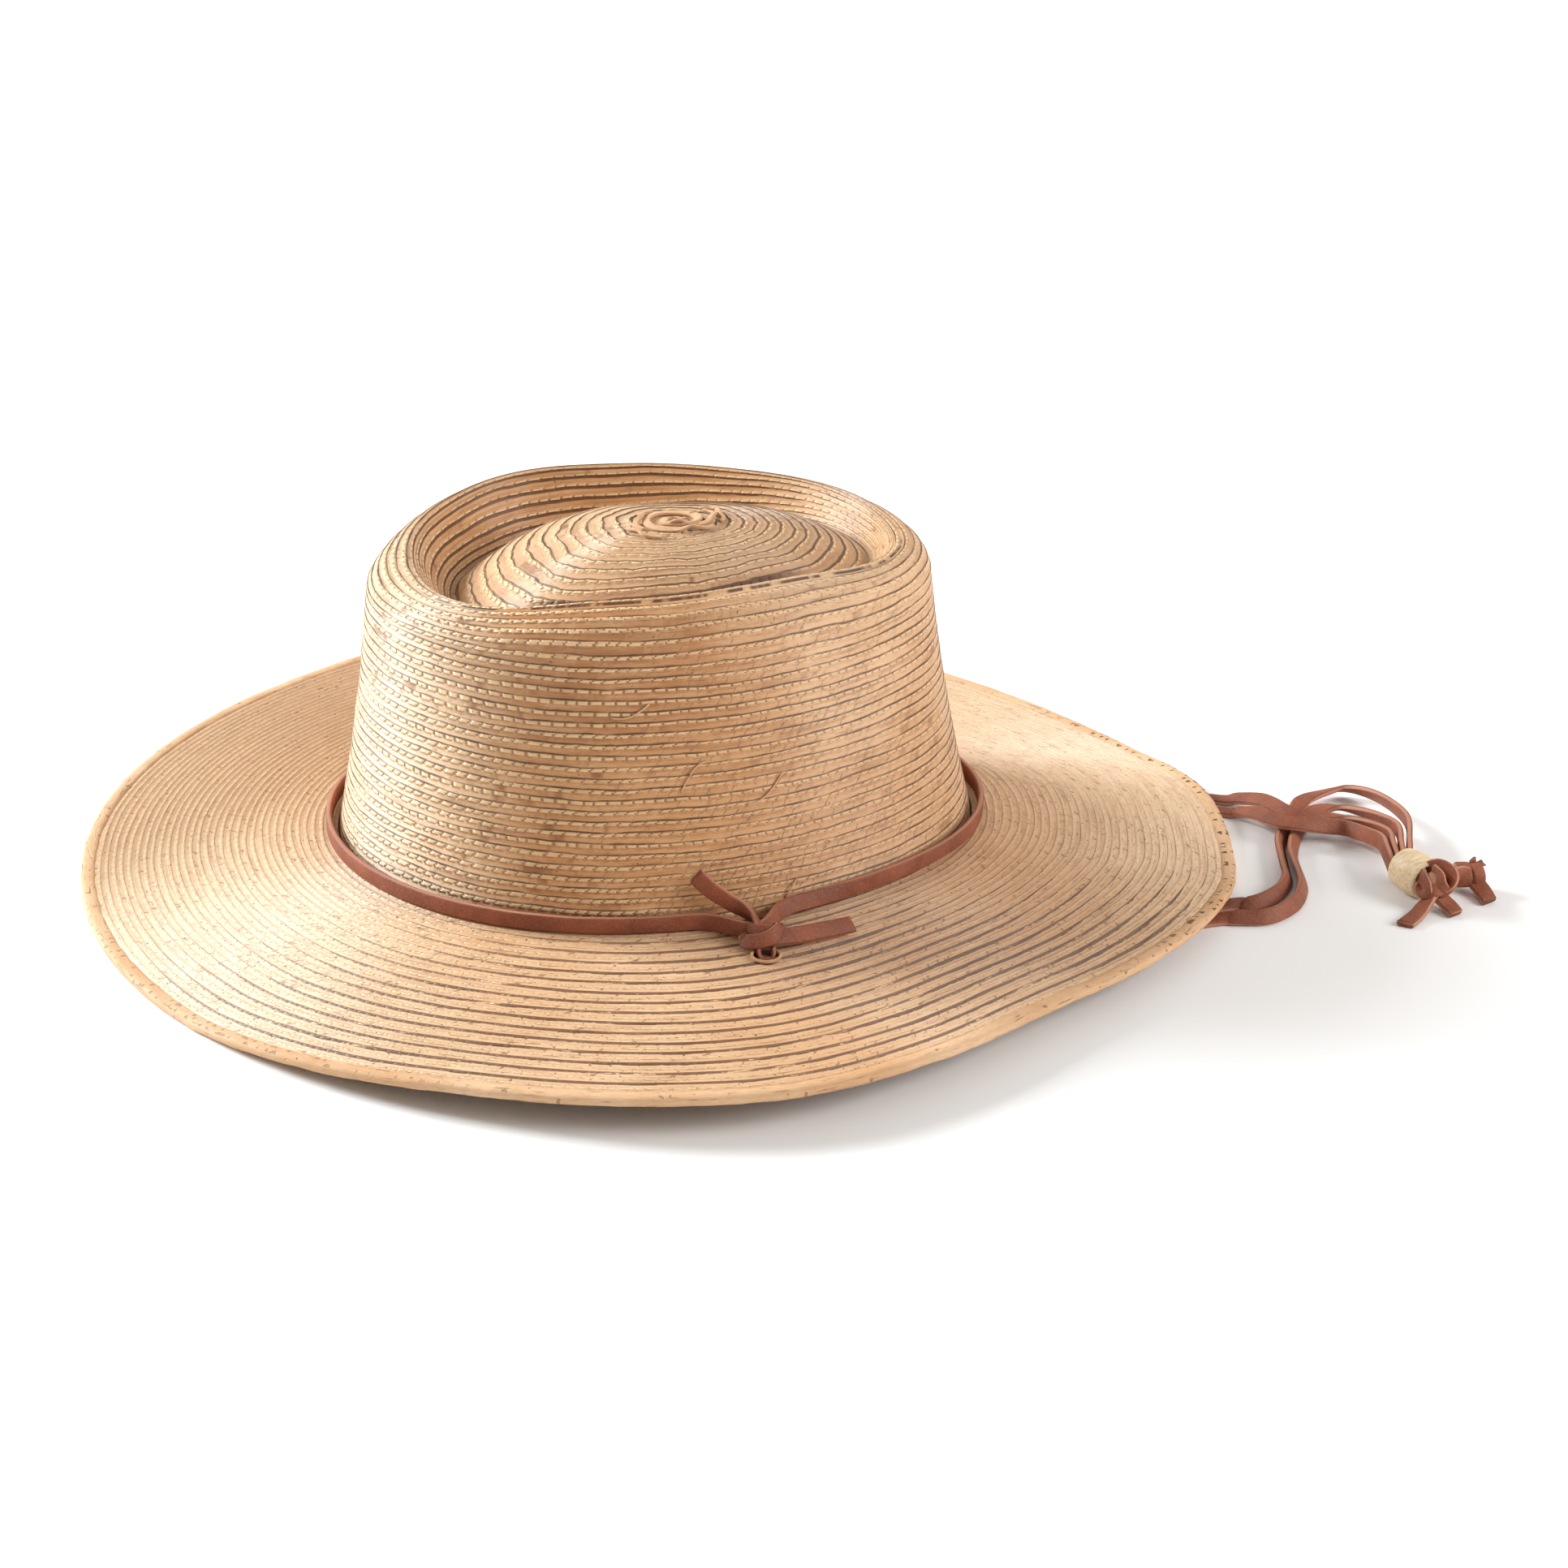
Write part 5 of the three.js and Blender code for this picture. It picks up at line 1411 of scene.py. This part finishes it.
class HAT_OT_stage(bpy.types.Operator):
    """Make the camera, the pale floor and the soft studio light."""

    bl_idname = "hat.stage"
    bl_label = "Stage"

    def execute(self, context):
        settings = context.scene.hat_settings
        make_camera()
        bm = bmesh.new()
        bmesh.ops.create_grid(bm, x_segments=1, y_segments=1, size=6)
        mesh = bpy.data.meshes.new("floor")
        bm.to_mesh(mesh)
        bm.free()
        floor = bpy.data.objects.new("floor", mesh)
        context.collection.objects.link(floor)
        material = bpy.data.materials.new("floor_paper")
        material.use_nodes = True
        shader = material.node_tree.nodes["Principled BSDF"]
        shader.inputs["Base Color"].default_value = (0.93, 0.93, 0.93, 1)
        shader.inputs["Roughness"].default_value = 0.9
        shader.inputs["Specular IOR Level"].default_value = 0.1
        mesh.materials.append(material)
        world = bpy.data.worlds.new("studio")
        world.use_nodes = True
        world.node_tree.nodes["Background"].inputs["Color"].default_value = (1, 0.945, 0.885, 1)
        world.node_tree.nodes["Background"].inputs["Strength"].default_value = 0.46
        context.scene.world = world
        context.scene.view_settings.view_transform = "Standard"
        target = (0, 0, 0.05)
        add_area("window", (-1.72, 1.08, 1.0), target, 0.9, settings.light_power, WINDOW_COLOUR)
        add_area("softbox", (1.3, -0.7, 0.8), target, 0.8, settings.light_power * 0.185)
        add_area("backdrop", (0.5, 1.3, 1.4), (0.9, 2.4, 0), 1.2, settings.light_power * 0.3)
        return {"FINISHED"}


class HAT_OT_chin_laces(bpy.types.Operator):
    """Make the four strands of the chin lace, each of its real length along its route."""

    bl_idname = "hat.chin_laces"
    bl_label = "Chin laces"

    def execute(self, context):
        material = shared_material("lace_leather", leather_material, context.scene.hat_settings)
        for name in LACE_ROUTES:
            piece, route = chin_lace_object(name, context.scene.hat_settings, material)
        return {"FINISHED"}


def shared_material(name, make, settings):
    return bpy.data.materials.get(name) or make(settings)


class HAT_OT_crown(bpy.types.Operator):
    """Make the crown of sewn braid, with its crease and dome."""

    bl_idname = "hat.crown"
    bl_label = "Crown"

    def execute(self, context):
        settings = context.scene.hat_settings
        crown_object(settings)
        tip_curl_object(settings, shared_material("hem_straw", hem_material, settings))
        return {"FINISHED"}


class HAT_OT_brim(bpy.types.Operator):
    """Make the brim of sewn braid with its two eyelets, and the whipped hem."""

    bl_idname = "hat.brim"
    bl_label = "Brim and hem"

    def execute(self, context):
        brim_object(context.scene.hat_settings)
        eyelet_rims(context.scene.hat_settings)
        hem_object(context.scene.hat_settings)
        return {"FINISHED"}


class HAT_OT_band(bpy.types.Operator):
    """Make the lace round the crown with its knot, and the stop knot on the far side."""

    bl_idname = "hat.band"
    bl_label = "Hat band"

    def execute(self, context):
        material = shared_material("lace_leather", leather_material, context.scene.hat_settings)
        band_object(material)
        far_knot_object(material)
        return {"FINISHED"}


class HAT_OT_bead(bpy.types.Operator):
    """Make the wooden bead and the two end knots."""

    bl_idname = "hat.bead"
    bl_label = "Bead and end knots"

    def execute(self, context):
        settings = context.scene.hat_settings
        bead_object(shared_material("bead_wood", wood_material, settings))
        end_knots(shared_material("lace_leather", leather_material, settings))
        return {"FINISHED"}


class HAT_PT_panel(bpy.types.Panel):
    """Lists the hat's pieces."""

    bl_idname = "HAT_PT_panel"
    bl_label = "Rancher Hat"
    bl_space_type = "VIEW_3D"
    bl_region_type = "UI"
    bl_category = "Hat"

    def draw(self, context):
        for operator in OPERATORS:
            self.layout.operator(operator.bl_idname)
        for name in HatSettings.__annotations__:
            self.layout.prop(context.scene.hat_settings, name)


OPERATORS = (HAT_OT_stage, HAT_OT_chin_laces, HAT_OT_crown, HAT_OT_brim, HAT_OT_band, HAT_OT_bead)
CLASSES = (HatSettings, *OPERATORS, HAT_PT_panel)


def register():
    for item in CLASSES:
        bpy.utils.register_class(item)
    bpy.types.Scene.hat_settings = bpy.props.PointerProperty(type=HatSettings)


def unregister():
    del bpy.types.Scene.hat_settings
    for item in reversed(CLASSES):
        bpy.utils.unregister_class(item)


def main():
    register()
    bpy.ops.hat.stage()
    bpy.ops.hat.chin_laces()
    bpy.ops.hat.crown()
    bpy.ops.hat.brim()
    bpy.ops.hat.band()
    bpy.ops.hat.bead()


if __name__ == "__main__":
    main()
